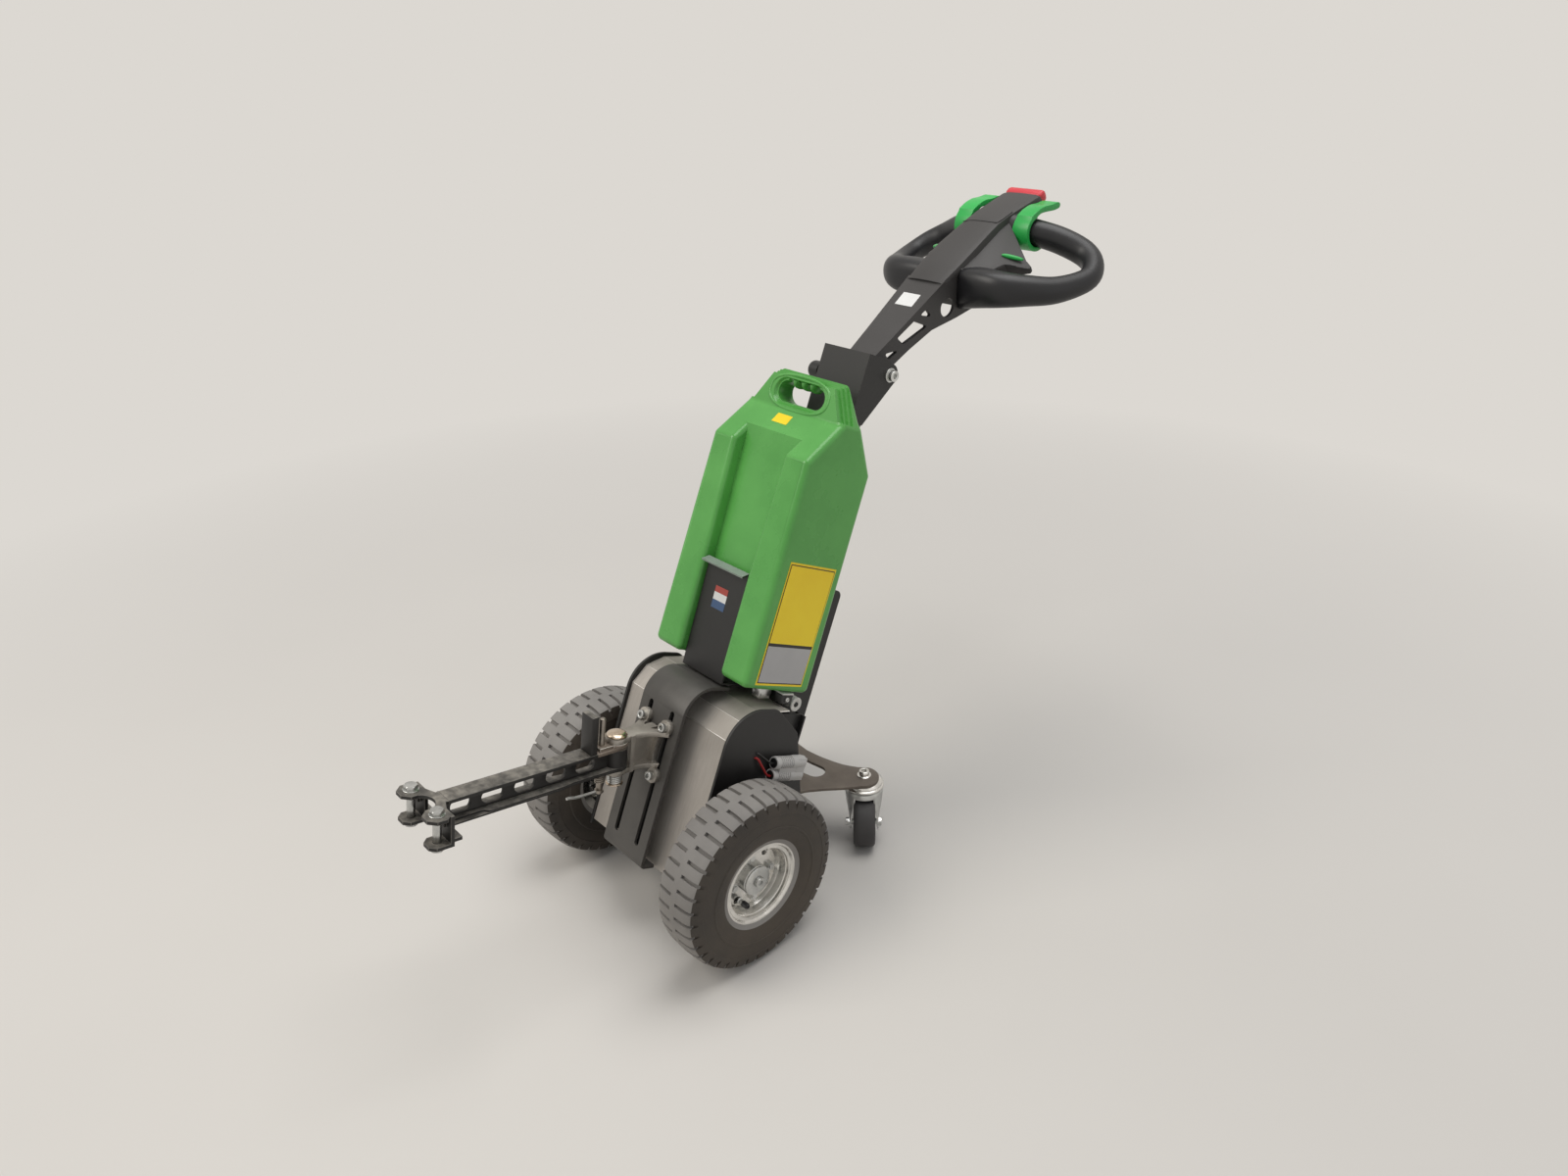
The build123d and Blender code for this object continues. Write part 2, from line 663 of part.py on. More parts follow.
def arm_fork():
    """Fork head: a Y plate above, and below each ear a post with its own pointed foot."""
    half = ARM_HEIGHT / 2
    low = -half - FORK_DROP
    solid = extrude(ARM_TOP.offset(half - ARM_FLANGE) * fork_plan(), amount=ARM_FLANGE)
    flat = FORK_EAR_RADIUS * math.tan(math.radians(22.5))
    post_y = FORK_EAR_RADIUS - FORK_POST / 2
    foot = make_face(
        Polyline(
            (FORK_FOOT_HALF, FORK_EAR_RADIUS),
            (FORK_FOOT_HALF, -flat),
            (flat, -FORK_FOOT_HALF),
            (-flat, -FORK_FOOT_HALF),
            (-FORK_FOOT_HALF, -flat),
            (-FORK_FOOT_HALF, FORK_EAR_RADIUS),
            close=True,
        )
    )
    for sign in (-1, 1):
        at = Pos(sign * FORK_HALF_SPACING, -ARM_REACH)
        post = Pos(0, post_y) * Rectangle(2 * FORK_FOOT_HALF, FORK_POST)
        rib = Pos(0, post_y - FORK_POST / 2 - 1.5) * Rectangle(5.0, 4.0)
        solid += extrude(ARM_TOP.offset(low) * at * foot, amount=ARM_FLANGE)
        solid += extrude(ARM_TOP.offset(low) * at * post, amount=half - low)
        solid += extrude(ARM_TOP.offset(half - ARM_FLANGE - 14) * at * rib, amount=14)
    bridge_length = FORK_ROOT - FORK_EAR_RADIUS + FORK_POST
    bridge = Pos(0, -ARM_REACH + FORK_ROOT - bridge_length / 2) * Rectangle(
        2 * (FORK_HALF_SPACING + FORK_FOOT_HALF), bridge_length
    )
    cheek = Pos(0, -ARM_REACH + FORK_ROOT - 4) * Rectangle(ARM_WEB, 8.0)
    solid += extrude(ARM_TOP.offset(-half) * bridge, amount=ARM_FLANGE)
    solid += extrude(ARM_TOP.offset(-half) * cheek, amount=ARM_HEIGHT)
    for sign in (-1, 1):
        at = (sign * FORK_HALF_SPACING, -ARM_REACH)
        solid -= rod(ARM_TOP, FORK_BOLT_RADIUS + 0.05, low - 1, half + 1, at)
    return solid


def fork_bolts():
    """Two bolts with sleeves that the coupled load's eye or hook bears on."""
    half = ARM_HEIGHT / 2
    foot = -half - FORK_DROP
    bolts = []
    for sign in (-1, 1):
        at = (sign * FORK_HALF_SPACING, -ARM_REACH)
        bolt = rod(ARM_TOP, FORK_BOLT_RADIUS, foot - 6, half, at)
        bolt += rod(ARM_TOP, FORK_SLEEVE_RADIUS, foot + ARM_FLANGE, half - ARM_FLANGE, at)
        bolt += rod(ARM_TOP, 10.5, half, half + 1.5, at)
        bolt += extrude(ARM_TOP.offset(half + 1.5) * Pos(*at) * RegularPolygon(9.0, 6), amount=6)
        bolt += extrude(ARM_TOP.offset(foot - 6) * Pos(*at) * RegularPolygon(9.5, 6), amount=6)
        bolts.append(bolt)
    return Compound(children=bolts)


def drive_unit():
    """Leaning gearbox with axle tubes to both side plates, and the motor above it."""
    front = CHASSIS_FRONT_N - GEARBOX_CLEARANCE
    face = outline(
        [(GEARBOX_FOOT_U, -30.0), (GEARBOX_FOOT_U, front), (GEARBOX_TOP_U, front), (GEARBOX_TOP_U, -30.0)],
        {0: 24.0, 1: 24.0, 2: 24.0, 3: 24.0},
    )
    inner = SIDE_PLATE_X - PLATE_GAP
    solid = across(face, -GEARBOX_HALF, GEARBOX_HALF)
    solid += x_rod(24.0, -inner, inner, 0, WHEEL_RADIUS)
    motor_top = CHASSIS_TOP_U - MOTOR_TOP_GAP
    upward = Plane(origin=(0, 0, 0), x_dir=(1, 0, 0), z_dir=(0, math.sin(lean), math.cos(lean)))
    return solid + rod(upward, MOTOR_RADIUS, GEARBOX_TOP_U - 1, motor_top, (0, -MOTOR_N))


def axle_end(side):
    """Stub axle with its flange on the side plate, carrying one hub."""
    sign = side_sign(side)
    outer = SIDE_PLATE_X + SIDE_PLATE_THICKNESS
    track = WHEEL_TRACK / 2
    stub = x_rod(AXLE_RADIUS - 0.05, SIDE_PLATE_X, track + 7.5, 0, WHEEL_RADIUS)
    flange = x_rod(34.0, outer, outer + 6, 0, WHEEL_RADIUS)
    boss = x_rod(25.9, SIDE_PLATE_X, outer, 0, WHEEL_RADIUS)
    solid = stub + flange + boss
    if sign < 0:
        solid = mirror(solid, Plane.YZ)
    return solid


def castor_plate():
    """Boomerang plate under the chassis with a concave rear edge and two teardrop cut-outs."""
    low = CASTOR_PLATE_TOP - CASTOR_PLATE_THICKNESS
    face = make_face(
        [
            *Polyline(
                (CASTOR_X + 12, CASTOR_Y - 20),
                (78, 196),
                (66, 176),
                (66, 96),
                (-66, 96),
                (-66, 176),
                (-78, 196),
                (-CASTOR_X - 12, CASTOR_Y - 20),
                (-CASTOR_X - 4, CASTOR_Y + 20),
            ).edges(),
            ThreePointArc(
                (-CASTOR_X - 4, CASTOR_Y + 20), (0, 264), (CASTOR_X + 4, CASTOR_Y + 20)
            ),
            Line((CASTOR_X + 4, CASTOR_Y + 20), (CASTOR_X + 12, CASTOR_Y - 20)),
        ]
    )
    solid = extrude(Plane.XY.offset(low) * face, amount=CASTOR_PLATE_THICKNESS)
    for sign in (-1, 1):
        at = (sign * CASTOR_X, CASTOR_Y)
        solid += rod(Plane.XY, CASTOR_PLATE_END, low, low + CASTOR_PLATE_THICKNESS, at)
        tear = make_hull(
            (Pos(sign * 40, 218) * Circle(13.0)).edges() + (Pos(sign * 76, 256) * Circle(5.0)).edges()
        )
        solid -= extrude(Plane.XY.offset(low - 1) * tear, amount=CASTOR_PLATE_THICKNESS + 2)
        solid -= rod(Plane.XY, CASTOR_STUD_RADIUS + 0.05, low - 1, low + CASTOR_PLATE_THICKNESS + 1, at)
    return solid


def castor_at(side):
    return Pos(side_sign(side) * CASTOR_X, CASTOR_Y, 0)


def castor_turn(side):
    return castor_at(side) * Rot(0, 0, CASTOR_YAW_DEG)


def castor_stud(side):
    """Cap screw and washer above the plate, rolled race below it; the swivel turns under it."""
    top = CASTOR_PLATE_TOP
    low = CASTOR_HEAD_TOP - CASTOR_HEAD_HEIGHT
    radius = CASTOR_HEAD_RADIUS
    race = make_face(
        Polyline(
            (0, low),
            (radius - 3, low),
            (radius, low + 3),
            (radius, CASTOR_HEAD_TOP - 4),
            (radius - 5, CASTOR_HEAD_TOP),
            (CASTOR_STUD_RADIUS, CASTOR_HEAD_TOP),
            (CASTOR_STUD_RADIUS, top),
            (11, top),
            (11, top + 1.5),
            (8, top + 1.5),
            (8, top + 9),
            (4, top + 9),
            (4, top + 5),
            (0, top + 5),
            close=True,
        )
    )
    return castor_at(side) * revolve(Plane.XZ * race, Axis.Z, 360)


def fork_half(offset):
    """Front view of half a fork from the crown down to the axle, moved inwards by an offset."""
    top = CASTOR_HEAD_TOP - CASTOR_HEAD_HEIGHT - PLATE_GAP
    leg = CASTOR_WHEEL_WIDTH / 2 + CASTOR_FORK_GAP + CASTOR_FORK_PLATE
    foot = CASTOR_WHEEL_RADIUS - CASTOR_EYE_RADIUS
    return [
        (CASTOR_HEAD_RADIUS - 2 - offset, top - offset),
        (CASTOR_HEAD_RADIUS - 2 - offset, top - 10),
        (leg - offset, CASTOR_WHEEL_RADIUS + 14),
        (leg - offset, foot - offset),
    ]


def castor_fork(side):
    """Pressed fork: a crown that narrows into two legs, with a folded edge round its window."""
    top = CASTOR_HEAD_TOP - CASTOR_HEAD_HEIGHT - PLATE_GAP
    inner = CASTOR_WHEEL_WIDTH / 2 + CASTOR_FORK_GAP
    outer = inner + CASTOR_FORK_PLATE
    axle_y = -CASTOR_TRAIL
    crown = CASTOR_HEAD_RADIUS - 3
    side_face = make_face(
        [
            *Polyline(
                (axle_y + CASTOR_EYE_RADIUS, CASTOR_WHEEL_RADIUS),
                (crown, top - 8),
                (crown, top),
                (-crown, top),
                (-crown, top - 8),
                (axle_y - CASTOR_EYE_RADIUS, CASTOR_WHEEL_RADIUS),
            ).edges(),
            ThreePointArc(
                (axle_y - CASTOR_EYE_RADIUS, CASTOR_WHEEL_RADIUS),
                (axle_y, CASTOR_WHEEL_RADIUS - CASTOR_EYE_RADIUS),
                (axle_y + CASTOR_EYE_RADIUS, CASTOR_WHEEL_RADIUS),
            ),
        ]
    )
    slab = extrude(Plane.YZ.offset(-60) * side_face, amount=120)
    fronts = []
    for offset in (0.0, CASTOR_FORK_PLATE):
        edge = fork_half(offset)
        mirrored = [(-x, z) for x, z in reversed(edge)]
        fronts.append(make_face(Polyline(*edge, *mirrored, close=True)))
    shell = extrude(Plane.XZ.offset(-60) * fronts[0], amount=120) & slab
    hollow_length = 2 * (crown - CASTOR_FORK_PLATE)
    shell -= extrude(Plane.XZ.offset(-hollow_length / 2) * fronts[1], amount=hollow_length)
    window = Pos(0, 0, (top - 9) / 2) * Box(2 * inner, 120, top - 9)
    shell -= window
    head = rod(Plane.XY, CASTOR_HEAD_RADIUS - 2, 0, top)
    eye = rod(Plane.YZ, CASTOR_EYE_RADIUS, -outer, outer, (axle_y, CASTOR_WHEEL_RADIUS))
    leg_zone = Pos(0, axle_y, (CASTOR_WHEEL_RADIUS + 10) / 2) * Box(200, 60, CASTOR_WHEEL_RADIUS + 10)
    solid = (shell & (head + leg_zone)) + (eye - window)
    at = (axle_y, CASTOR_WHEEL_RADIUS)
    solid += rod(Plane.YZ, CASTOR_AXLE_RADIUS, -outer, outer, at)
    solid += extrude(Plane.YZ.offset(outer) * Pos(*at) * RegularPolygon(7.5, 6), amount=5)
    solid += extrude(Plane.YZ.offset(-outer - 6) * Pos(*at) * RegularPolygon(7.5, 6), amount=6)
    return castor_turn(side) * solid


def castor_wheel(side):
    half = CASTOR_WHEEL_WIDTH / 2
    radius = CASTOR_WHEEL_RADIUS
    face = make_face(
        Polyline(
            (-half, CASTOR_AXLE_RADIUS + 0.05),
            (-half, radius - 6),
            (-half + 6, radius),
            (half - 6, radius),
            (half, radius - 6),
            (half, CASTOR_AXLE_RADIUS + 0.05),
            close=True,
        )
    )
    solid = revolve(face, Axis.X, 360)
    return castor_turn(side) * Pos(0, -CASTOR_TRAIL, radius) * solid


# Battery and what holds it

def battery_foot(n):
    """Height of the pack's slanted underside at depth n."""
    return BATTERY_FOOT_U - BATTERY_FOOT_DROP * (BATTERY_FRONT_N - n) / (BATTERY_FRONT_N - BATTERY_REAR_N)


def battery_front(u_low):
    """Front view of the pack above u_low: foot, slight taper, and shoulders cut to the handle."""
    foot_share = (BATTERY_NECK_U - u_low) / (BATTERY_NECK_U - BATTERY_FOOT_U)
    half = BATTERY_HALF + (BATTERY_FOOT_HALF - BATTERY_HALF) * foot_share
    right = [
        (half, u_low),
        (BATTERY_HALF, BATTERY_NECK_U),
        (BATTERY_TOP_HALF, BATTERY_TOP_U),
    ]
    return Polyline(*right, *[(-x, u) for x, u in reversed(right)], close=True)


def battery():
    """Moulded pack: tapered box, flared front channel, mast groove and stepped finger-grip handle."""
    side = make_face(
        Polyline(
            (BATTERY_FOOT_U, BATTERY_FRONT_N),
            (BATTERY_SHOULDER_U, BATTERY_FRONT_N),
            (BATTERY_NECK_U, HANDLE_FRONT_N + 3),
            (BATTERY_TOP_U, HANDLE_FRONT_N),
            (BATTERY_TOP_U + 2, HANDLE_REAR_N),
            (BATTERY_NECK_U + 8, HANDLE_REAR_N - 12),
            (BATTERY_SHOULDER_U, BATTERY_REAR_N),
            (battery_foot(BATTERY_REAR_N), BATTERY_REAR_N),
            close=True,
        )
    )
    body = make_face(battery_front(battery_foot(BATTERY_REAR_N)))
    block = extrude(LEAN.offset(-100) * body, amount=300)
    block = block & across(side, -150, 150)
    block = fillet(block.edges(), BATTERY_ROUND)
    above_neck = Pos(0, BATTERY_NECK_U + 4 + 50) * Rectangle(400, 100)
    for depth, inset in HANDLE_STEPS:
        cut = above_neck - offset(body, amount=-inset, kind=Kind.INTERSECTION)
        block -= extrude(LEAN.offset(HANDLE_FRONT_N - depth) * cut, amount=depth + 10)
    low = BATTERY_FOOT_U - 20
    channel = make_face(
        Polyline(
            (CHANNEL_HALF, low),
            (CHANNEL_HALF, HOLDER_TOP_U),
            (CHANNEL_TOP_HALF, CHANNEL_TOP_U),
            (-CHANNEL_TOP_HALF, CHANNEL_TOP_U),
            (-CHANNEL_HALF, HOLDER_TOP_U),
            (-CHANNEL_HALF, low),
            close=True,
        )
    )
    block -= extrude(LEAN.offset(CHANNEL_FLOOR_N) * channel, amount=60)
    lips = [
        edge
        for edge in block.edges().filter_by(GeomType.LINE)
        if edge.length > 150
        and abs(LEAN.to_local_coords(edge.center()).Z - BATTERY_FRONT_N) < 1
        and abs(abs(edge.center().X) - CHANNEL_HALF) < 8
    ]
    block = fillet(lips, CHANNEL_ROUND)
    groove_length = BRACKET_FOOT_U - BATTERY_FOOT_U + 40
    groove = Pos(0, BATTERY_FOOT_U - 20 + groove_length / 2) * Rectangle(
        2 * (MAST_HALF + MAST_CLEARANCE), groove_length
    )
    block -= extrude(LEAN.offset(MAST_FRONT_N + MAST_CLEARANCE) * groove, amount=-80)
    hole = Pos(0, HANDLE_HOLE_U) * SlotOverall(2 * HANDLE_HOLE_HALF, HANDLE_HOLE_HEIGHT)
    bevel = Pos(0, HANDLE_HOLE_U) * SlotOverall(2 * HANDLE_HOLE_HALF + 14, HANDLE_HOLE_HEIGHT + 14)
    top_edge = HANDLE_HOLE_U + HANDLE_HOLE_HEIGHT / 2
    for index in range(FINGER_COUNT):
        x = (index - (FINGER_COUNT - 1) / 2) * FINGER_PITCH
        hole += Pos(x, top_edge - 6) * Circle(FINGER_RADIUS)
    block -= extrude(LEAN.offset(-40) * hole, amount=140)
    block -= extrude(LEAN.offset(HANDLE_FRONT_N + 6) * bevel, amount=-9.0, taper=30)
    return block


def battery_holder():
    """Tray on the chassis top with the upright plate in the battery's channel and its lip."""
    ledge = CHASSIS_TOP_U + 6.0
    front = HOLDER_N + HOLDER_THICKNESS
    tray_rear = -30.0
    face = outline(
        [
            (CHASSIS_TOP_U + 1, tray_rear),
            (CHASSIS_TOP_U + 1, HITCH_REAR_N - 1),
            (ledge, HITCH_REAR_N - 1),
            (ledge, front),
            (HOLDER_TOP_U - HOLDER_THICKNESS, front),
            (HOLDER_TOP_U - HOLDER_THICKNESS, HOLDER_LIP_N),
            (HOLDER_TOP_U, HOLDER_LIP_N),
            (HOLDER_TOP_U, HOLDER_N),
            (battery_foot(HOLDER_N) - TRAY_GAP, HOLDER_N),
            (battery_foot(tray_rear) - TRAY_GAP, tray_rear),
        ]
    )
    half = CHANNEL_HALF - 1.0
    return across(face, -half, half)


def terminal_block():
    """Block with a switch beside it on the chassis top, under the pack's left edge."""
    foot = CHASSIS_TOP_U + 1.0
    block = Pos(TERMINAL_X, foot + TERMINAL_HEIGHT / 2, 14) * Box(20, TERMINAL_HEIGHT, 24)
    switch = Pos(TERMINAL_X + 8, foot + TERMINAL_HEIGHT / 2, -10) * Box(24, TERMINAL_HEIGHT - 4, 24)
    return LEAN.location * (block + switch)


def above_castor_plate(solid):
    """What is left of a leaning solid above the castor plate's top face."""
    below = Pos(0, 150, CASTOR_PLATE_TOP - 100) * Box(400, 600, 200)
    return solid - below


def rear_frame():
    """Two gussets from the chassis to the castor plate, a tie between them and two stub pins."""
    high = CHASSIS_TOP_U - 24.0
    face = make_face(Polyline((high, -41), (high, -92), (150, -92), (130, -41), close=True))
    solid = across(face, GUSSET_X, GUSSET_X + GUSSET_THICKNESS)
    ear = Pos(ROLLER_U, ROLLER_N) * Circle(ROLLER_RADIUS + 1)
    neck = Pos(ROLLER_U - 10, ROLLER_N) * Rectangle(20.0, 2 * ROLLER_RADIUS + 2)
    solid += across(ear, GUSSET_X, GUSSET_X + GUSSET_THICKNESS)
    solid += across(neck, GUSSET_X, GUSSET_X + GUSSET_THICKNESS)
    solid += across(Pos(ROLLER_U, ROLLER_N) * Circle(4.0), GUSSET_X - ROLLER_WIDTH - 2, GUSSET_X)
    tie = make_face(
        Polyline((high - 12, -45), (high, -45), (high, -41), (high - 12, -41), close=True)
    )
    return above_castor_plate(solid + mirror(solid, Plane.YZ) + across(tie, -GUSSET_X, GUSSET_X))


def guide_rollers():
    """White nylon rollers on the rear frame's stub pins, behind the battery's foot."""
    ring = Pos(ROLLER_U, ROLLER_N) * (Circle(ROLLER_RADIUS) - Circle(4.05))
    roller = across(ring, GUSSET_X - ROLLER_WIDTH, GUSSET_X - 0.5)
    return Compound(children=[roller, mirror(roller, Plane.YZ)])


def mast():
    tube = across(
        make_face(
            Polyline(
                (120, MAST_REAR_N),
                (120, MAST_FRONT_N - 12),
                (CHASSIS_TOP_U - 6, MAST_FRONT_N - 12),
                (CHASSIS_TOP_U + 9, MAST_FRONT_N),
                (MAST_TOP_U, MAST_FRONT_N),
                (MAST_TOP_U, MAST_REAR_N),
                close=True,
            )
        ),
        -MAST_HALF,
        MAST_HALF,
    )
    return above_castor_plate(tube)


def controller_box():
    face = outline(
        [
            (120, MAST_REAR_N),
            (120, BOX_REAR_N),
            (BOX_TOP_U, BOX_REAR_N),
            (BOX_TOP_U + 8, MAST_REAR_N),
        ],
        {2: 10.0},
    )
    return above_castor_plate(across(face, -MAST_HALF, MAST_HALF))


def tiller_bracket():
    """Folded U-plate round the mast's head with ears for the tiller's bolt."""
    outer = MAST_HALF + BRACKET_THICKNESS
    front = MAST_FRONT_N + BRACKET_THICKNESS
    ear = Pos(TILLER_PIVOT_U, TILLER_PIVOT_N) * Circle(BRACKET_EAR_RADIUS)
    cheek_face = make_face(
        Polyline(
            (BRACKET_FOOT_U - 12, MAST_FRONT_N),
            (BRACKET_TOP_U, MAST_FRONT_N),
            (BRACKET_TOP_U, -76.0),
            (TILLER_PIVOT_U + 2, TILLER_PIVOT_N - BRACKET_EAR_RADIUS),
            (TILLER_PIVOT_U - 9, TILLER_PIVOT_N - 13.0),
            (BRACKET_FOOT_U, -56.0),
            close=True,
        )
    )
    cheeks = None
    for low, high in ((MAST_HALF, outer), (-outer, -MAST_HALF)):
        cheek = across(cheek_face, low, high) + across(ear, low, high)
        cheeks = cheek if cheeks is None else cheeks + cheek
    front_face = make_face(
        Polyline(
            (BRACKET_FOOT_U - 12, MAST_FRONT_N),
            (BRACKET_FOOT_U - 12, front),
            (BRACKET_TOP_U, front),
            (BRACKET_TOP_U, MAST_FRONT_N),
            close=True,
        )
    )
    solid = cheeks + across(front_face, -outer, outer)
    solid -= across(Pos(TILLER_PIVOT_U, TILLER_PIVOT_N) * Circle(6.05), -outer - 1, outer + 1)
    solid -= across(Pos(KNOB_U, KNOB_N) * Circle(4.1), -outer - 1, 0)
    return solid


def tiller_bolt():
    outer = MAST_HALF + BRACKET_THICKNESS
    at = Pos(TILLER_PIVOT_U, TILLER_PIVOT_N)
    solid = across(at * Circle(6.0), -outer, outer)
    solid += across(at * Circle(9.0), outer, outer + 10)
    solid += across(at * RegularPolygon(9.5, 6), -outer - 8, -outer)
    return solid


def clamp_knob():
    outer = MAST_HALF + BRACKET_THICKNESS
    at = Pos(KNOB_U, KNOB_N)
    solid = across(at * Circle(4.0), -outer - 2, -outer + 10)
    dome = across(at * Circle(13.0), -outer - 30, -outer - 8)
    solid += fillet(dome.edges().sort_by(Axis.X)[0], 8.0)
    solid += across(at * Circle(8.0), -outer - 8, -outer)
    return solid


# Tiller: local frame x, t along the arm from the pivot, h up from it

def tiller_arm():
    """Moulded arm, open below: top flange, two tapering truss walls with windows, bolt boss."""
    flange_low = TILLER_TOP_H - TILLER_FLANGE
    side = make_face(
        Polyline(
            (-14, 0),
            (-12, TILLER_TOP_H),
            (60, TILLER_TOP_H + 2),
            (TILLER_NECK_T, TILLER_TOP_H + 6),
            (TILLER_NECK_T, TILLER_TOP_H),
            (200, TILLER_TOP_H),
            (200, -44),
            (157, -30),
            (111, -14),
            (59, -9),
            (22, -8),
            (8, -14),
            (-8, -14),
            close=True,
        )
    )
    plan = make_face(
        Polyline(
            (-TILLER_ROOT_HALF, -20),
            (TILLER_ROOT_HALF, -20),
            (TILLER_NECK_HALF, TILLER_NECK_T),
            (TILLER_NECK_HALF, 201),
            (-TILLER_NECK_HALF, 201),
            (-TILLER_NECK_HALF, TILLER_NECK_T),
            close=True,
        )
    )
    solid = extrude(TILLER.offset(-60) * plan, amount=120) & across(side, -60, 60, TILLER_SIDE)
    inner_plan = make_face(
        Polyline(
            (-TILLER_ROOT_HALF + TILLER_WALL, 18),
            (TILLER_ROOT_HALF - TILLER_WALL, 18),
            (TILLER_NECK_HALF - TILLER_WALL, TILLER_NECK_T),
            (TILLER_NECK_HALF - TILLER_WALL, 194),
            (-TILLER_NECK_HALF + TILLER_WALL, 194),
            (-TILLER_NECK_HALF + TILLER_WALL, TILLER_NECK_T),
            close=True,
        )
    )
    solid -= extrude(TILLER.offset(-60) * inner_plan, amount=60 + flange_low)
    windows = (
        ((20, 18), (22, 5), (47, 3)),
        ((56, 5), (50, 22), (88, 22), (107, -3)),
        ((101, 22), (117, 21), (120, 4)),
    )
    for corners in windows:
        hole = make_face(Polyline(*corners, close=True))
        hole = fillet(hole.vertices(), 2.0)
        solid -= across(hole, -60, 60, TILLER_SIDE)
    solid -= across(Pos(152, -5) * Circle(14.0), -60, 60, TILLER_SIDE)
    spacers = across(Circle(12.0), -MAST_HALF + 0.5, MAST_HALF - 0.5, TILLER_SIDE)
    solid += spacers
    solid -= across(Circle(6.05), -60, 60, TILLER_SIDE)
    return solid


def head_wing():
    """The left wing: a slab that slopes down from the head's ridge to a pointed tip."""
    plan = make_face(
        Polyline(
            (20, 204),
            (HEAD_HALF + 4, 204),
            (WING_TIP_X - 20, WING_TIP_T - 20),
            (WING_TIP_X, WING_TIP_T),
            (WING_TIP_X - 10, WING_TIP_T + 12),
            (60, 262),
            (42, 290),
            (HEAD_HALF + 4, 330),
            (20, 330),
            close=True,
        )
    )
    slab = make_face(
        Polyline(
            (20, HEAD_TOP_H - 4),
            (HEAD_HALF + 2, HEAD_TOP_H - 6),
            (WING_TIP_X, WING_TIP_H),
            (WING_TIP_X, WING_TIP_H - WING_THICKNESS),
            (HEAD_HALF, -20),
            (20, -20),
            close=True,
        )
    )
    section = extrude(TILLER_SECTION.offset(-340) * slab, amount=160)
    return extrude(TILLER.offset(-60) * plan, amount=120) & section


def tiller_head():
    """Housing over the arm's end: a long spine that falls to its nose, and a wing each side."""
    side = make_face(
        Polyline(
            (TILLER_NECK_T + 0.5, HEAD_TOP_H),
            (240, HEAD_TOP_H + 1),
            (303, HEAD_TOP_H - 4),
            (350, 20),
            (TILLER_END_T, 7),
            (TILLER_END_T, -12),
            (350, -16),
            (300, -18),
            (240, -24),
            (201, -28),
            (201, TILLER_TOP_H + 0.2),
            (TILLER_NECK_T + 0.5, TILLER_TOP_H + 0.2),
            close=True,
        )
    )
    half = HEAD_HALF
    spine = [
        (half, TILLER_NECK_T),
        (half + 4, 204),
        (half + 2, 265),
        (half - 1, 303),
        (half + 1, 340),
        (half + 2, TILLER_END_T + 1),
    ]
    mirrored = [(-x, t) for x, t in reversed(spine)]
    plan = make_face(Polyline(*spine, *mirrored, close=True))
    solid = extrude(TILLER.offset(-60) * plan, amount=120) & across(side, -120, 120, TILLER_SIDE)
    wing = head_wing()
    return solid + wing + mirror(wing, Plane.YZ)


def grip(side):
    """Closed loop: a round bar out and round the bend, swelling into a tall root under the head."""
    path = FilletPolyline(*GRIP_ROUTE, radius=GRIP_BEND)
    bar = sweep(Plane(origin=path @ 0, z_dir=path % 0) * Circle(GRIP_RADIUS), path=path)
    end = Plane(origin=path @ 1, x_dir=(0, 0, 1), z_dir=path % 1)
    near_round = GRIP_RADIUS - 0.5
    sections = [end * RectangleRounded(2 * GRIP_RADIUS, 2 * GRIP_RADIUS, near_round)]
    before = path @ 1
    for x, t, h, radius in GRIP_SWELL:
        ring = Plane(origin=(x, t, h), x_dir=(0, 0, 1), z_dir=Vector(x, t, h) - before)
        sections.append(ring * RectangleRounded(2 * radius, 2 * radius, radius - 2))
        before = Vector(x, t, h)
    upright = (0, math.sin(tiller_rise), math.cos(tiller_rise))
    root = Plane(origin=(GRIP_ROOT_X, GRIP_ROOT_T, GRIP_ROOT_H), x_dir=upright, z_dir=(-1, 0, 0))
    sections.append(root * RectangleRounded(GRIP_ROOT_HEIGHT, GRIP_ROOT_LENGTH, 9.0))
    solid = bar + loft(Sketch() + sections)
    if side == "right":
        solid = mirror(solid, Plane.YZ)
    return TILLER.location * solid


def throttle(side):
    """Thumb throttle: an open ring round the grip, drawn out into a paddle towards the nose."""
    t0, h0, radius = THROTTLE_T, THROTTLE_H, THROTTLE_RADIUS
    wall = THROTTLE_WALL
    ring = make_face(
        [
            ThreePointArc((t0 + 12, h0 - radius), (t0 - radius, h0), (t0 + 4, h0 + radius)),
            Line((t0 + 4, h0 + radius), (t0 + 4, h0 + radius - wall)),
            ThreePointArc(
                (t0 + 4, h0 + radius - wall), (t0 - radius + wall, h0), (t0 + 12, h0 - radius + wall)
            ),
            Line((t0 + 12, h0 - radius + wall), (t0 + 12, h0 - radius)),
        ]
    )
    paddle = make_face(
        [
            ThreePointArc((t0, h0 + radius), (t0 + 34, h0 + radius - 6), (PADDLE_END_T, h0 + 8)),
            Line((PADDLE_END_T, h0 + 8), (PADDLE_END_T - 3, h0)),
            ThreePointArc(
                (PADDLE_END_T - 3, h0), (t0 + 31, h0 + radius - 7 - wall), (t0, h0 + radius - wall)
            ),
            Line((t0, h0 + radius - wall), (t0, h0 + radius)),
        ]
    )
    low = THROTTLE_X
    solid = across(ring, low, low + THROTTLE_WIDTH, TILLER_SIDE)
    solid += across(paddle, low, low + THROTTLE_WIDTH, TILLER_SIDE)
    if side == "right":
        solid = mirror(solid, Plane.YZ)
    return solid


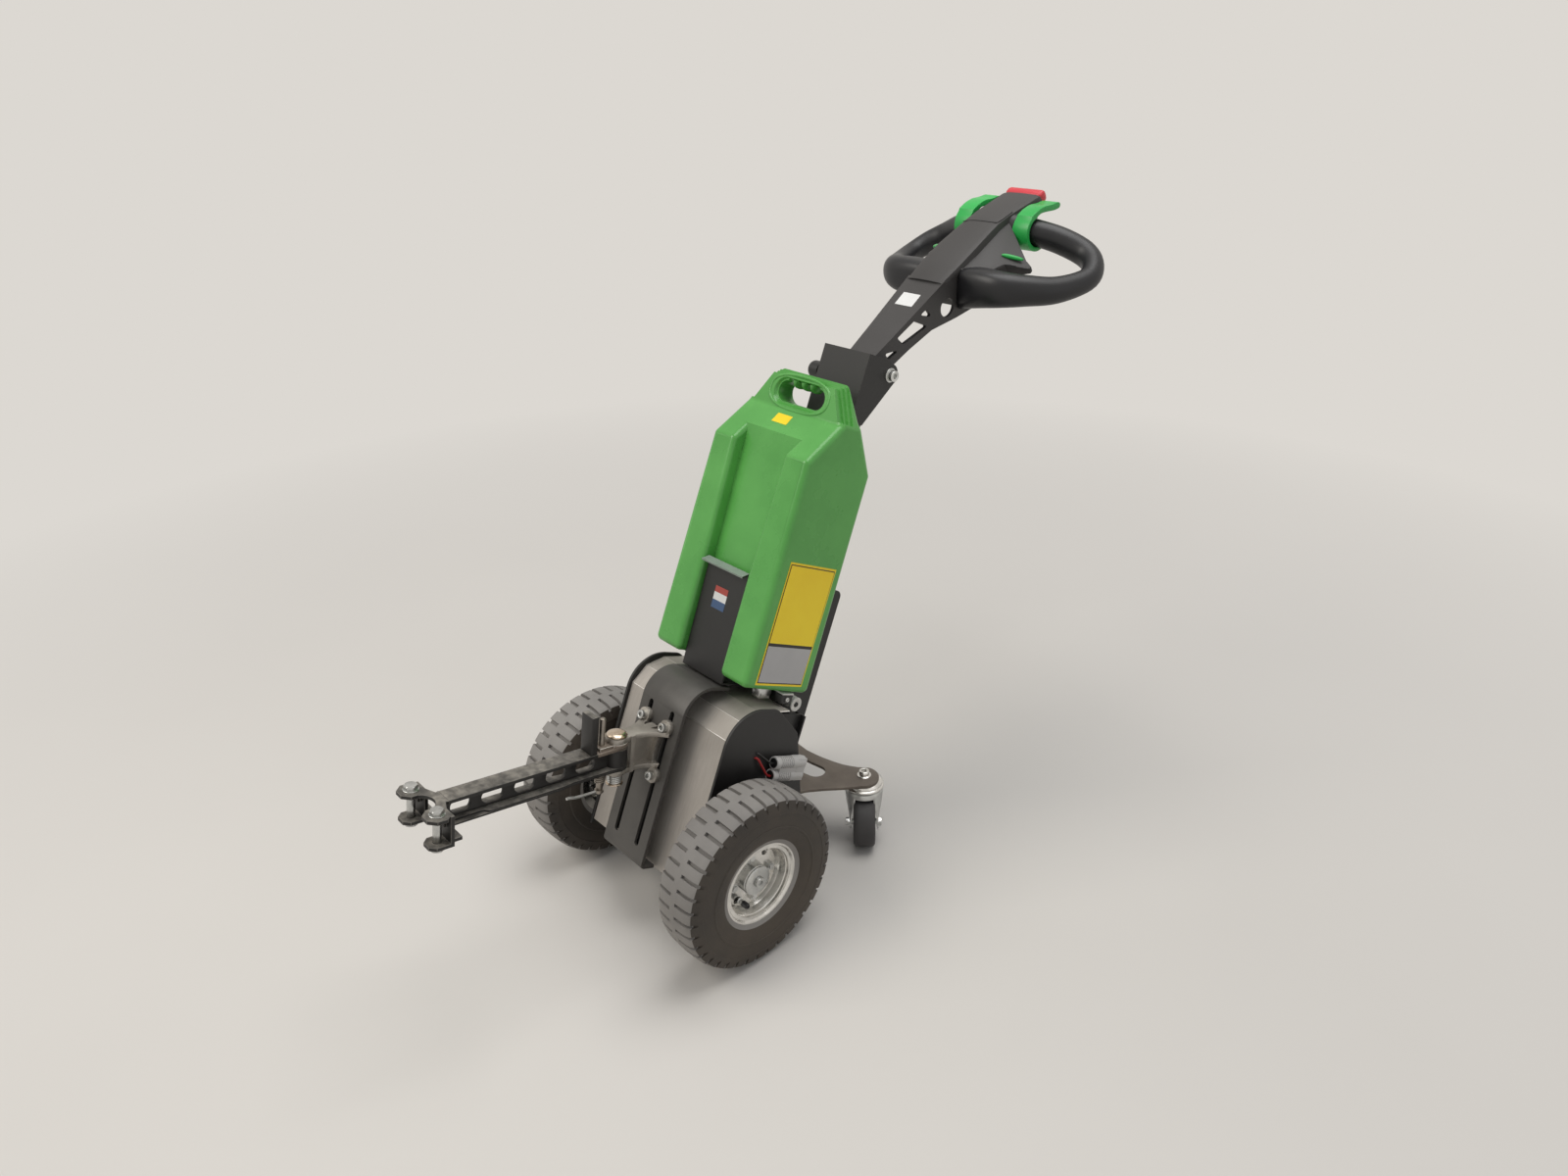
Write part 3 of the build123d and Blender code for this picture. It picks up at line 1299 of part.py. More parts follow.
def safety_button():
    """Rounded belly button across the head's nose, proud of it on the upper edge."""
    nose = TILLER_END_T
    face = outline([(nose, -12), (nose, 8), (nose + 12, 7), (nose + 16, -2), (nose + 11, -12)], {2: 6.0})
    return across(face, -HEAD_HALF, HEAD_HALF, TILLER_SIDE)


# Power connector and its leads on the left side plate

def power_connector():
    """Two-pole battery connector: two barrels side by side, held to the plate by a short foot."""
    front = CONNECTOR_N + CONNECTOR_LENGTH / 2
    solid = None
    for row in (-1, 1):
        at = (CONNECTOR_X, CONNECTOR_U + row * CONNECTOR_PITCH / 2)
        barrel = rod(LEAN, CONNECTOR_RADIUS, front - CONNECTOR_LENGTH, front, at)
        solid = barrel if solid is None else solid + barrel
    bridge = Pos(CONNECTOR_X, CONNECTOR_U, CONNECTOR_N) * Box(
        2 * CONNECTOR_RADIUS - 4, CONNECTOR_PITCH, CONNECTOR_LENGTH
    )
    foot_length = CONNECTOR_X - LEAD_EXIT_X
    foot = Pos(LEAD_EXIT_X + foot_length / 2, CONNECTOR_U, CONNECTOR_N - 8) * Box(foot_length, 14, 20)
    return solid + LEAN.location * (bridge + foot)


def lead(row):
    """One short lead from its hole in the side plate into the front of its barrel."""
    u = CONNECTOR_U + row * CONNECTOR_PITCH / 2
    start_n = CONNECTOR_N + CONNECTOR_LENGTH / 2
    end = (LEAD_EXIT_X - 1, LEAD_HOLE_U + row * LEAD_RADIUS * 1.2, LEAD_HOLE_N)
    route = ((CONNECTOR_X, u, start_n - 2), (CONNECTOR_X, u, start_n + 14), end)
    path = LEAN * FilletPolyline(*route, radius=8.0)
    section = Plane(origin=path @ 0, z_dir=path % 0) * Circle(LEAD_RADIUS)
    solid = sweep(section, path=path)
    return solid - side_plate("left") - power_connector()


# Assembly

SIDES = ("left", "right")


def both(part):
    """A left and a right piece of one kind as separate solids of one node."""
    return Compound(children=[part(side) for side in SIDES])


shapes = {
    "axle_ends": both(axle_end),
    "castor_studs": both(castor_stud),
    "cover": cover(),
    "hitch_plate": hitch_plate(),
    "hitch_casting": hitch_casting(),
    "casting_bolts": casting_bolts(),
    "pivot_pin": pivot_pin(),
    "arm_beam": arm_beam(),
    "latch_plate": latch_plate(),
    "lock_pin": lock_pin(),
    "arm_fork": arm_fork(),
    "fork_bolts": fork_bolts(),
    "drive_unit": drive_unit(),
    "castor_plate": castor_plate(),
    "battery": battery(),
    "battery_holder": battery_holder(),
    "terminal_block": terminal_block(),
    "rear_frame": rear_frame(),
    "guide_rollers": guide_rollers(),
    "mast": mast(),
    "controller_box": controller_box(),
    "tiller_bracket": tiller_bracket(),
    "tiller_bolt": tiller_bolt(),
    "clamp_knob": clamp_knob(),
    "tiller_arm": tiller_arm(),
    "tiller_head": tiller_head(),
    "safety_button": safety_button(),
    "power_connector": power_connector(),
    "lead_red": lead(1),
    "lead_black": lead(-1),
}
loops = {side: grip(side) - shapes["tiller_head"] - shapes["tiller_arm"] for side in SIDES}
shapes["throttles"] = Compound(children=[throttle(side) - loops[side] for side in SIDES])
for side in SIDES:
    shapes["grip_" + side] = loops[side]
    shapes["side_plate_" + side] = side_plate(side)
    shapes["tyre_" + side] = tyre(side)
    shapes["rim_" + side] = rim(side)
    shapes["hub_" + side] = hub(side)
    shapes["castor_fork_" + side] = castor_fork(side)
    shapes["castor_wheel_" + side] = castor_wheel(side)


# The origin is the middle of the footprint's bounding box, on the floor
os.makedirs("parts", exist_ok=True)
solids = [solid for shape in shapes.values() for solid in shape.solids()]
limits = Compound(children=solids).bounding_box()
centre_y = (limits.min.Y + limits.max.Y) / 2
for name, shape in shapes.items():
    whole = Compound(children=shape.solids()) if len(shape.solids()) > 1 else shape
    export_step(Pos(0, -centre_y, 0) * whole, "parts/" + name + ".step")
print("centre_y", centre_y)
print("overall", limits.min, limits.max)
print("tiller pivot", pivot_y - centre_y, pivot_z)
print("arm pivot", arm_pivot_y - centre_y, arm_pivot_z)
print("castor", CASTOR_X, CASTOR_Y - centre_y)
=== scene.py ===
# %% [markdown]
# # A walk-behind electric tow tractor, dressed in Blender
#
# The imported CAD model is the frame: every piece of it is already in place, in metres. This file
# gives each piece the surface of the real one, and adds what is too fine for the solids: road tread,
# moulded seams, bolt sockets, wear and blank label plates.

# %% Load the frame
import math

import bmesh
import bpy
from mathutils import Matrix, Vector


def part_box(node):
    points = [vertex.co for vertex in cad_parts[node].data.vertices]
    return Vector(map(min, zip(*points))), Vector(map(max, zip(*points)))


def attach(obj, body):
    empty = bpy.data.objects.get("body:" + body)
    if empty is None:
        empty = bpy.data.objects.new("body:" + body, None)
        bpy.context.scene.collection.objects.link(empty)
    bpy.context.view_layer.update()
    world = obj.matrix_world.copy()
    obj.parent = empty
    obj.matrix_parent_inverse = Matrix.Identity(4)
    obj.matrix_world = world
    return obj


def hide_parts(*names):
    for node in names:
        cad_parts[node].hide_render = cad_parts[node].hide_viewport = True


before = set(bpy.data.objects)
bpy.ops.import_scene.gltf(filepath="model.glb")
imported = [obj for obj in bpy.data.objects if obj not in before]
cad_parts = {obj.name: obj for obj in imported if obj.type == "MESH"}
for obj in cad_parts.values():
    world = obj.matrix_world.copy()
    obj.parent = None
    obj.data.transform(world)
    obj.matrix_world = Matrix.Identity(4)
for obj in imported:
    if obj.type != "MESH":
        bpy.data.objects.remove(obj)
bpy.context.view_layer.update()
scene = bpy.context.scene
scene.view_settings.view_transform = "Standard"

# %% [markdown]
# ## The camera
#
# The photograph was taken with a phone's wide lens from a standing height, so verticals lean and
# the near wheel looks large. A camera could be placed by eye, but the outlines of the two drive tyres
# and of the near rim give its place by calculation, and then every piece can be compared with the
# photograph in the same pixels. The place is counted from the wheel axle, which is the one point
# that never moves when a part of the model changes.

# %% Place the camera at the photograph's viewpoint
axle = sum((Vector(corner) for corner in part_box("tyre_left")), Vector()) / 2
azimuth = math.radians(48.165)
pitch = math.radians(26.739)
roll = math.radians(-1.595)
forward = Vector((-math.sin(azimuth) * math.cos(pitch),
                  math.cos(azimuth) * math.cos(pitch), -math.sin(pitch)))
level = forward.cross(Vector((0, 0, 1))).normalized()
upright = level.cross(forward)
right = math.cos(roll) * level + math.sin(roll) * upright
up = -math.sin(roll) * level + math.cos(roll) * upright
camera = bpy.data.objects.new("photo_camera", bpy.data.cameras.new("photo_camera"))
camera.data.sensor_width = 36.0
camera.data.lens = 25.893
camera.data.clip_start = 0.01
turn = Matrix((right, up, -forward)).transposed()
camera.matrix_world = Matrix.Translation((1.11352, axle.y - 0.76058, 1.17618)) @ turn.to_4x4()
scene.collection.objects.link(camera)
scene.camera = camera
print("camera at", [round(v, 3) for v in camera.matrix_world.translation])

# %% [markdown]
# ## Helpers for materials
#
# A material is a small graph of nodes. Colours are written as the sRGB hex values that a paint
# chart or an eyedropper gives, and one function turns them to the linear values that light is
# worked out in. One more function adds a node, sets what it needs and links its inputs.

# %% Colour and node helpers
def linear(code):
    """Linear RGBA of an sRGB hex colour."""
    parts = [int(code[i:i + 2], 16) / 255 for i in (1, 3, 5)]
    return (*[c / 12.92 if c <= 0.04045 else ((c + 0.055) / 1.055) ** 2.4 for c in parts], 1.0)


def add(tree, kind, inputs=None, **settings):
    """Add a node, set its properties, and set or link each named input. Gives the node."""
    new = tree.nodes.new("ShaderNode" + kind)
    for key, value in settings.items():
        setattr(new, key, value)
    for key, value in (inputs or {}).items():
        socket = new.inputs[key]
        if isinstance(value, bpy.types.NodeSocket):
            tree.links.new(value, socket)
        else:
            socket.default_value = value
    return new


def start(name, **shader):
    """A material of that name with its principled shader. Gives material, tree and shader."""
    material = bpy.data.materials.new(name)
    material.use_nodes = True
    tree = material.node_tree
    surface = tree.nodes["Principled BSDF"]
    for key, value in shader.items():
        surface.inputs[key.replace("_", " ")].default_value = value
    return material, tree, surface


def noise(tree, size_mm, stretch=(1, 1, 1), detail=2.0, roughness=0.5):
    """A noise pattern in object space whose lumps are about size_mm across, and its stretch."""
    place = add(tree, "TexCoord")
    scaled = add(tree, "VectorMath", {0: place.outputs["Object"], 1: stretch}, operation="MULTIPLY")
    return add(tree, "TexNoise", {"Vector": scaled.outputs[0], "Scale": 500.0 / size_mm,
                                  "Detail": detail, "Roughness": roughness}).outputs["Fac"]


def between(tree, factor, low, high, steps=(0.35, 0.65)):
    """Colour ramp from hex low to hex high between two values of the factor."""
    ramp = add(tree, "ValToRGB", {"Fac": factor})
    for stop, position, code in zip(ramp.color_ramp.elements, steps, (low, high)):
        stop.position = position
        stop.color = linear(code)
    return ramp.outputs["Color"]


def spread(tree, factor, low, high, steps=(0.3, 0.7)):
    """Number that goes from low to high between two values of the factor."""
    return add(tree, "MapRange", {"Value": factor, "From Min": steps[0], "From Max": steps[1],
                                  "To Min": low, "To Max": high}).outputs["Result"]


def bump(tree, surface, height, depth_mm, strength=1.0):
    """Drive the shader's normal by a height pattern that stands depth_mm deep."""
    dent = add(tree, "Bump", {"Height": height, "Distance": depth_mm / 1000, "Strength": strength})
    tree.links.new(dent.outputs["Normal"], surface.inputs["Normal"])
    return dent


print("helpers ready")

# %% [markdown]
# ## Metals
#
# The cover is brushed stainless sheet under a film of dust, so it mirrors little and its grain
# stretches what it does mirror. The hitch plate is hot-rolled plate, oiled but unpainted, so it keeps
# its dark mill scale. The casting is raw cast steel, matt and grainy. Bolts, rims, hubs and castors
# are zinc plated: bright, with soft cloudy stains. All keep the default index of refraction. What
# tells them apart is colour, roughness and grain, so one function makes all but the cover.

# %% Metal finishes
def brushed_stainless():
    """Sheet with a ground finish: fine lines along the bend's length, faint warm staining."""
    material, tree, surface = start("stainless_brushed", Metallic=0.28, Anisotropic=0.3)
    lines = noise(tree, 6.0, (26, 0.4, 0.4), 3.0, 0.65)
    cloud = noise(tree, 90.0, detail=4.0)
    tone = between(tree, cloud, "#A8A29A", "#BFB8B0")
    streak = between(tree, lines, "#C6C2BD", "#FFFFFF", (0.3, 0.7))
    mix = add(tree, "Mix", {"Factor": 0.6, "A": tone, "B": streak}, data_type="RGBA",
              blend_type="MULTIPLY")
    tree.links.new(mix.outputs["Result"], surface.inputs["Base Color"])
    tree.links.new(spread(tree, lines, 0.46, 0.6), surface.inputs["Roughness"])
    bump(tree, surface, lines, 0.03)
    return material


def clouded(name, tones, rough, cloud, grain, depth_mm, steps=(0.35, 0.65), gloss=0, **shader):
    """Finish whose colour drifts in clouds over a fine grain; both are (size in mm, detail, lumps).

    The gloss drifts with the clouds, or with the grain where gloss is 1.
    """
    material, tree, surface = start(name, **shader)
    patterns = [noise(tree, size, detail=detail, roughness=lumps) for size, detail, lumps in (cloud, grain)]
    tree.links.new(between(tree, patterns[0], *tones, steps), surface.inputs["Base Color"])
    tree.links.new(spread(tree, patterns[gloss], *rough), surface.inputs["Roughness"])
    bump(tree, surface, patterns[1], depth_mm)
    return material


def mill_scale(name, *tones):
    """Hot-rolled plate as it left the mill: dark scale with rubbed, paler patches."""
    return clouded(name, tones, (0.42, 0.6), (60.0, 6.0, 0.65), (2.5, 3.0, 0.5), 0.06, (0.35, 0.75),
                   Metallic=0.4)


def zinc(name, tones=("#ABACAB", "#D6D7D5"), rough=(0.22, 0.38)):
    """Bright plate or a rubbed, shiny surface, with soft cloudy stains."""
    return clouded(name, tones, rough, (18.0, 4.0, 0.6), (1.2, 2.0, 0.5), 0.01, Metallic=1.0)


stainless = brushed_stainless()
hitch_scale = mill_scale("steel_mill_scale", "#4B4946", "#615E5A")
castor_scale = mill_scale("steel_mill_scale_brown", "#6A6158", "#887E73")
brown_steel = mill_scale("steel_rubbed_brown", "#766A5F", "#AFA193")
# Sand-cast steel is blasted: a coarse grain, which also breaks up its gloss.
casting = clouded("steel_cast", ("#918C85", "#B8B3AB"), (0.42, 0.62), (25.0, 3.0, 0.5),
                  (1.6, 4.0, 0.7), 0.18, gloss=1, Metallic=0.9)
bright_zinc = zinc("zinc_plated")
rim_zinc = zinc("zinc_rim", ("#C4C3BF", "#E6E4E0"), (0.16, 0.28))
turned_steel = zinc("steel_turned", ("#857E76", "#A39C93"), (0.3, 0.45))
dome_steel = zinc("steel_forged_rubbed", ("#A8947E", "#DCCDBC"), (0.16, 0.3))
# Near-white finish for the cover's fold bands: a painted highlight that stays bright under any lamp.
fold_painted_highlight = zinc("stainless_fold_painted_highlight", ("#F0EEEA", "#FDFCFA"), (0.3, 0.4))
# Pale band for cast and rubbed edges: a painted highlight on the casting, rubbed wear on the latch plate.
cast_edge_wear_and_highlight = zinc("steel_cast_edge_wear_and_highlight", ("#C9C5BE", "#E4E1DB"), (0.3, 0.42))
print("metals:", len(bpy.data.materials))

# %% [markdown]
# ## Paints, plastics and rubbers
#
# Powder coat is a baked polyester skin with a faint orange peel. The pack's case is moulded
# polyethylene: even colour, satin gloss, a fine moulded grain. Handles and tiller are moulded
# polyamide, darker and more matt. The tread is pale grey with ground-in dust, its walls brown-black.

# %% Paint, plastic and rubber finishes
def powder_coat(name, *tones):
    """Satin black powder coat: orange peel about 2 mm across and faint dust."""
    return clouded(name, tones, (0.38, 0.55), (70.0, 5.0, 0.65), (2.0, 1.0, 0.5), 0.05)


def worn_paint():
    """Black paint that boots and chains have scuffed: bare dusty grey where a face looks up."""
    material, tree, surface = start("paint_black_worn")
    scuff = noise(tree, 16.0, (1, 0.4, 1), 5.0, 0.7)
    normal = add(tree, "NewGeometry").outputs["Normal"]
    height = add(tree, "SeparateXYZ", {0: normal}).outputs["Z"]
    level = spread(tree, height, 0.0, 1.0, (0.6, 0.95))
    rubbed = spread(tree, scuff, 0.45, 1.0, (0.36, 0.6))
    bare = add(tree, "Math", {0: level, 1: rubbed}, operation="MULTIPLY")
    paint = between(tree, scuff, "#171615", "#262422")
    dust = between(tree, noise(tree, 5.0, detail=5.0), "#57534D", "#8C867C")
    tone = add(tree, "Mix", {"Factor": bare.outputs[0], "A": paint, "B": dust}, data_type="RGBA")
    tree.links.new(tone.outputs["Result"], surface.inputs["Base Color"])
    tree.links.new(spread(tree, scuff, 0.42, 0.62), surface.inputs["Roughness"])
    bump(tree, surface, scuff, 0.06)
    return material


def moulded(name, *tones, rough=(0.4, 0.5), grain_mm=1.2, depth=0.03):
    """Moulded plastic or rubber: nearly even colour, satin, with the mould's fine grain."""
    return clouded(name, tones, rough, (80.0, 5.0, 0.6), (grain_mm, 3.0, 0.5), depth)


def vinyl(name, *tones):
    """Printed sticker: smooth film, a little glossy."""
    return moulded(name, *tones, rough=(0.35, 0.45), grain_mm=0.6, depth=0.005)


case_green = moulded("polyethylene_green", "#519C46", "#60AC53", rough=(0.22, 0.34))
# Paler green for the bands on the pack's broken edges: a painted highlight.
case_edge_painted_highlight = moulded("polyethylene_green_edge_highlight", "#74B968", "#8DCB80", rough=(0.22, 0.34))
tiller_grey = moulded("polyamide_charcoal", "#333130", "#3D3B3A", rough=(0.5, 0.62), grain_mm=0.9,
                      depth=0.05)
grip_black = moulded("soft_grip_black", "#131316", "#1B1B1E", rough=(0.36, 0.5), grain_mm=0.9)
throttle_green = moulded("abs_green", "#22A046", "#2BB04E", rough=(0.28, 0.4))
button_red = moulded("abs_red", "#C22E38", "#D13A44", rough=(0.3, 0.42))
knob_black = moulded("phenolic_black", "#161616", "#202020", rough=(0.25, 0.4))
connector_grey = moulded("polycarbonate_grey", "#B5B2AE", "#C6C3BE")
core_grey = moulded("polypropylene_grey", "#6F7072", "#7D7E80")
nylon_white = moulded("nylon_white", "#DCD8D0", "#EAE6DF")
lead_red_skin = moulded("pvc_red", "#A02022", "#B02A2A")
lead_black_skin = moulded("pvc_black", "#141414", "#1D1D1D")
# Dull black for the head's seams; the bars behind the hitch plate's slots use it as painted shade.
seam_and_shade_black = moulded("seam_shadow", "#0E0E0E", "#141414", rough=(0.7, 0.8))
# The tread is dusty non-marking rubber; the slots and the walls show the darker rubber below.
tread_grey = moulded("rubber_grey_tread", "#7C7874", "#918D88", rough=(0.75, 0.9), grain_mm=1.4,
                     depth=0.15)
slot_rubber = moulded("rubber_slot_dark", "#2A2724", "#3A3632", rough=(0.8, 0.9), grain_mm=1.4,
                      depth=0.1)
wall_rubber = moulded("rubber_wall_dusty", "#29241F", "#4A4239", rough=(0.5, 0.72), grain_mm=1.6,
                      depth=0.2)
castor_rubber = moulded("rubber_dark_castor", "#343232", "#454342", rough=(0.55, 0.7), depth=0.05)
label_yellow = vinyl("vinyl_yellow", "#F4CF14", "#FBDC24")
label_line = vinyl("vinyl_print_black", "#191816", "#211F1D")
label_grey = vinyl("vinyl_grey", "#A9A7A6", "#B4B2B0")
label_white = vinyl("vinyl_white", "#DCDBD8", "#E6E5E2")
label_red = vinyl("vinyl_red", "#A8453C", "#B04C42")
label_blue = vinyl("vinyl_blue", "#3C5578", "#435D82")
frame_black = powder_coat("powder_coat_black", "#1B1A1A", "#272625")
# Grey for the bands on the black coat's broken edges: a painted highlight.
coat_edge_painted_highlight = powder_coat("powder_coat_edge", "#343332", "#454341")
# Pale green-grey for the holder's lip: painted light on its upturned face and a painted reflection of the
# green pack.
lip_painted_reflection = powder_coat("powder_coat_painted_reflection", "#6F7D71", "#8A958B")
rubbed_edge = powder_coat("paint_edge_rubbed", "#5E5A55", "#7C776F")
arm_black = worn_paint()
print("finishes:", len(bpy.data.materials))

# %% [markdown]
# ## Dress the CAD nodes
#
# A node whose shape is right keeps its shape and gets its finish in its material slots. The table
# says which is which, so a change of finish is one word.

# %% Give each node its finish
FINISHES = {
    stainless: ("cover",),
    hitch_scale: ("hitch_plate",),
    castor_scale: ("castor_plate",),
    casting: ("hitch_casting",),
    brown_steel: ("latch_plate", "pivot_pin"),
    bright_zinc: ("casting_bolts", "fork_bolts", "hub_left", "hub_right", "axle_ends", "castor_studs",
                  "castor_fork_left", "castor_fork_right", "tiller_bolt", "lock_pin"),
    rim_zinc: ("rim_left", "rim_right"),
    frame_black: ("side_plate_left", "side_plate_right", "mast", "controller_box", "rear_frame",
                  "tiller_bracket", "battery_holder", "drive_unit", "terminal_block"),
    arm_black: ("arm_beam", "arm_fork"),
    case_green: ("battery",),
    tiller_grey: ("tiller_arm", "tiller_head"),
    grip_black: ("grip_left", "grip_right"),
    throttle_green: ("throttles",),
    button_red: ("safety_button",),
    connector_grey: ("power_connector",),
    knob_black: ("clamp_knob",),
    nylon_white: ("guide_rollers",),
    lead_red_skin: ("lead_red",),
    lead_black_skin: ("lead_black",),
    tread_grey: ("tyre_left", "tyre_right"),
    castor_rubber: ("castor_wheel_left", "castor_wheel_right"),
}


def dress(thing, material):
    """Put one material on every slot of an object."""
    if not thing.material_slots:
        thing.data.materials.append(material)
    for slot in thing.material_slots:
        slot.material = material


for finish, nodes in FINISHES.items():
    for name in nodes:
        dress(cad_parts[name], finish)
dressed = {name for nodes in FINISHES.values() for name in nodes}
print("nodes left plain:", sorted(set(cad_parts) - dressed))

# %% [markdown]
# ## Frames and mesh helpers
#
# The machine is drawn in four slanted frames. The mast and battery lean back 24 degrees, the tiller
# rises 30 degrees from the mast's top, the tow arm rises 10 degrees to the front, and each wheel has
# its own axle. Writing every piece in its own frame, in millimetres, keeps the numbers readable.
# Almost every piece below is a skin over a row of cross-sections: turned parts, bars that bend and
# swell, and plates are all the same operation with different rings.

# %% Frames and mesh helpers
MM = 0.001
WAY_X = (1, 0, 0)
WAY_Y = (0, 1, 0)
WAY_Z = (0, 0, 1)


def frame_of(origin, *columns):
    """Matrix from a local frame in millimetres to the row frame in metres."""
    turned_by = Matrix([Vector(column) for column in columns]).transposed().to_4x4()
    return Matrix.Translation(origin) @ turned_by @ Matrix.Scale(MM, 4)


def rising(origin, angle):
    """Frame (x, along, above) whose second axis rises at an angle over +Y."""
    return frame_of(origin, WAY_X, (0, math.cos(angle), math.sin(angle)),
                    (0, -math.sin(angle), math.cos(angle)))


TILLER_RISE = math.radians(30)
ARM_RISE = math.radians(10)
LEAN = rising((0, axle.y, 0), math.radians(66))
TILLER = rising(LEAN @ Vector((0, 823, -84)), TILLER_RISE)
ARM = frame_of((0, axle.y - 0.082, 0.281), WAY_X, (0, math.sin(ARM_RISE), math.cos(ARM_RISE)),
               (0, -math.cos(ARM_RISE), math.sin(ARM_RISE)))
HERE = Matrix()


def wheel_frame(side):
    """Frame (outward, y, z) at the middle of one drive wheel."""
    sign = 1 if side == "left" else -1
    return frame_of((sign * axle.x, axle.y, axle.z), (sign, 0, 0), WAY_Y, WAY_Z)


def circle(radius, steps, phase=0.0):
    """Points of a circle."""
    return [(radius * math.cos(math.tau * i / steps + phase),
             radius * math.sin(math.tau * i / steps + phase)) for i in range(steps)]


def skin(mesh, rings, caps=True, loop=False):
    """Join rings of points one after the other. Gives the rows of vertices."""
    rows = [[mesh.verts.new(point) for point in ring] for ring in rings]
    for a, b in zip(rows, rows[1:] + rows[:1] if loop else rows[1:]):
        for i, first in enumerate(a):
            j = (i + 1) % len(a)
            mesh.faces.new((first, a[j], b[j], b[i]))
    if caps and not loop:
        mesh.faces.new(rows[0][::-1])
        mesh.faces.new(rows[-1])
    return rows


def turned(mesh, profile, steps=48, phase=0.0, at=(0, 0)):
    """Turn (along, radius) points about a line along the first axis, through (y, z) at."""
    return skin(mesh, [[(along, y + at[0], z + at[1]) for y, z in circle(radius, steps, phase)]
                       for along, radius in profile])


def soften(mesh, width, segments=2, angle=30.0):
    """Round every edge whose faces meet at more than an angle."""
    mesh.normal_update()
    sharp = [edge for edge in mesh.edges if len(edge.link_faces) == 2
             and edge.calc_face_angle(0.0) > math.radians(angle)]
    bmesh.ops.bevel(mesh, geom=sharp, offset=width, segments=segments, profile=0.5,
                    affect="EDGES", clamp_overlap=True)


def piece(name, mesh, finish, body, place=HERE, smooth=40.0, node=None):
    """Object from a mesh in a local frame: placed, dressed, smoothed and riding a body.

    It stands for a CAD node where one is named, and that node is hidden.
    """
    mesh.transform(place)
    bmesh.ops.recalc_face_normals(mesh, faces=mesh.faces)
    data = bpy.data.meshes.new(name)
    mesh.to_mesh(data)
    mesh.free()
    data.shade_smooth()
    data.set_sharp_from_angle(angle=math.radians(smooth))
    thing = bpy.data.objects.new(name, data)
    scene.collection.objects.link(thing)
    for one in finish if isinstance(finish, tuple) else (finish,):
        data.materials.append(one)
    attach(thing, body)
    if node:
        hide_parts(node)
    return thing


def through(points, per_span=6):
    """Smooth curve of tuples of numbers that passes through the given ones."""
    ends = [tuple(2 * a - b for a, b in zip(points[0], points[1])), *points,
            tuple(2 * a - b for a, b in zip(points[-1], points[-2]))]
    curve = []
    for p, q, r, s in zip(ends, ends[1:], ends[2:], ends[3:]):
        for step in range(per_span):
            t = step / per_span
            curve.append(tuple(0.5 * (2 * b + (c - a) * t + (2 * a - 5 * b + 4 * c - d) * t ** 2
                                      + (3 * b - a - 3 * c + d) * t ** 3)
                               for a, b, c, d in zip(p, q, r, s)))
    return curve + [points[-1]]


def bar(mesh, route, upright=WAY_Z, steps=24):
    """Skin along rows of (x, y, z, half height, half width, squareness); 2 is an ellipse."""
    centres = [Vector(row[:3]) for row in route]
    rings = []
    for i, row in enumerate(route):
        ahead = (centres[min(i + 1, len(route) - 1)] - centres[max(i - 1, 0)]).normalized()
        rise = (Vector(upright) - ahead * ahead.dot(Vector(upright))).normalized()
        aside = ahead.cross(rise)
        high, wide, square = row[3:]
        ring = []
        for c, s in circle(1.0, steps):
            reach = (abs(c) ** square + abs(s) ** square) ** (-1 / square)
            ring.append(centres[i] + rise * (high * c * reach) + aside * (wide * s * reach))
        rings.append(ring)
    return skin(mesh, rings)


def wire(mesh, points, radius, steps=8, upright=WAY_Z):
    """Round wire of one radius along points."""
    return bar(mesh, [(*point, radius, radius, 2) for point in points], upright, steps)


def decal(name, mesh_frame, corners, towards, node, finish, body, cells=8, lift=0.25):
    """Thin sheet laid on an object: a grid between four corners, dropped onto the surface."""
    mesh = bmesh.new()
    bpy.context.view_layer.update()
    target = bpy.data.objects[node]
    inverse = target.matrix_world.inverted()
    down = (mesh_frame.to_3x3() @ Vector(towards)).normalized()
    a, b, c, d = (Vector(corner) for corner in corners)
    rows = []
    for i in range(cells + 1):
        left, right_end = a.lerp(d, i / cells), b.lerp(c, i / cells)
        row = []
        for j in range(cells + 1):
            start_at = mesh_frame @ left.lerp(right_end, j / cells)
            hit, place, *_ = target.ray_cast(inverse @ start_at, inverse.to_3x3() @ down)
            landed = target.matrix_world @ place if hit else start_at
            row.append(mesh.verts.new(landed - down * lift * MM))
        rows.append(row)
    for low, high in zip(rows, rows[1:]):
        for j in range(cells):
            mesh.faces.new((low[j], low[j + 1], high[j + 1], high[j]))
    return piece(name, mesh, finish, body)


print("lean axis:", [round(v, 3) for v in LEAN.col[1]], "tiller root:",
      [round(v, 3) for v in TILLER.translation])

# %% [markdown]
# ## Tyres with road tread
#
# The drive tyres are 3.00-4 size with a block tread: two rows of narrow cross slots, set half a pitch
# apart, on both sides of a smooth middle rib. Each slot opens at the shoulder and runs a little down
# the wall. In a solid model each slot would be a cut; here the section of the tyre is carried round
# the axle, and at the slots its points sink. Two close sections make each slot's steep wall.

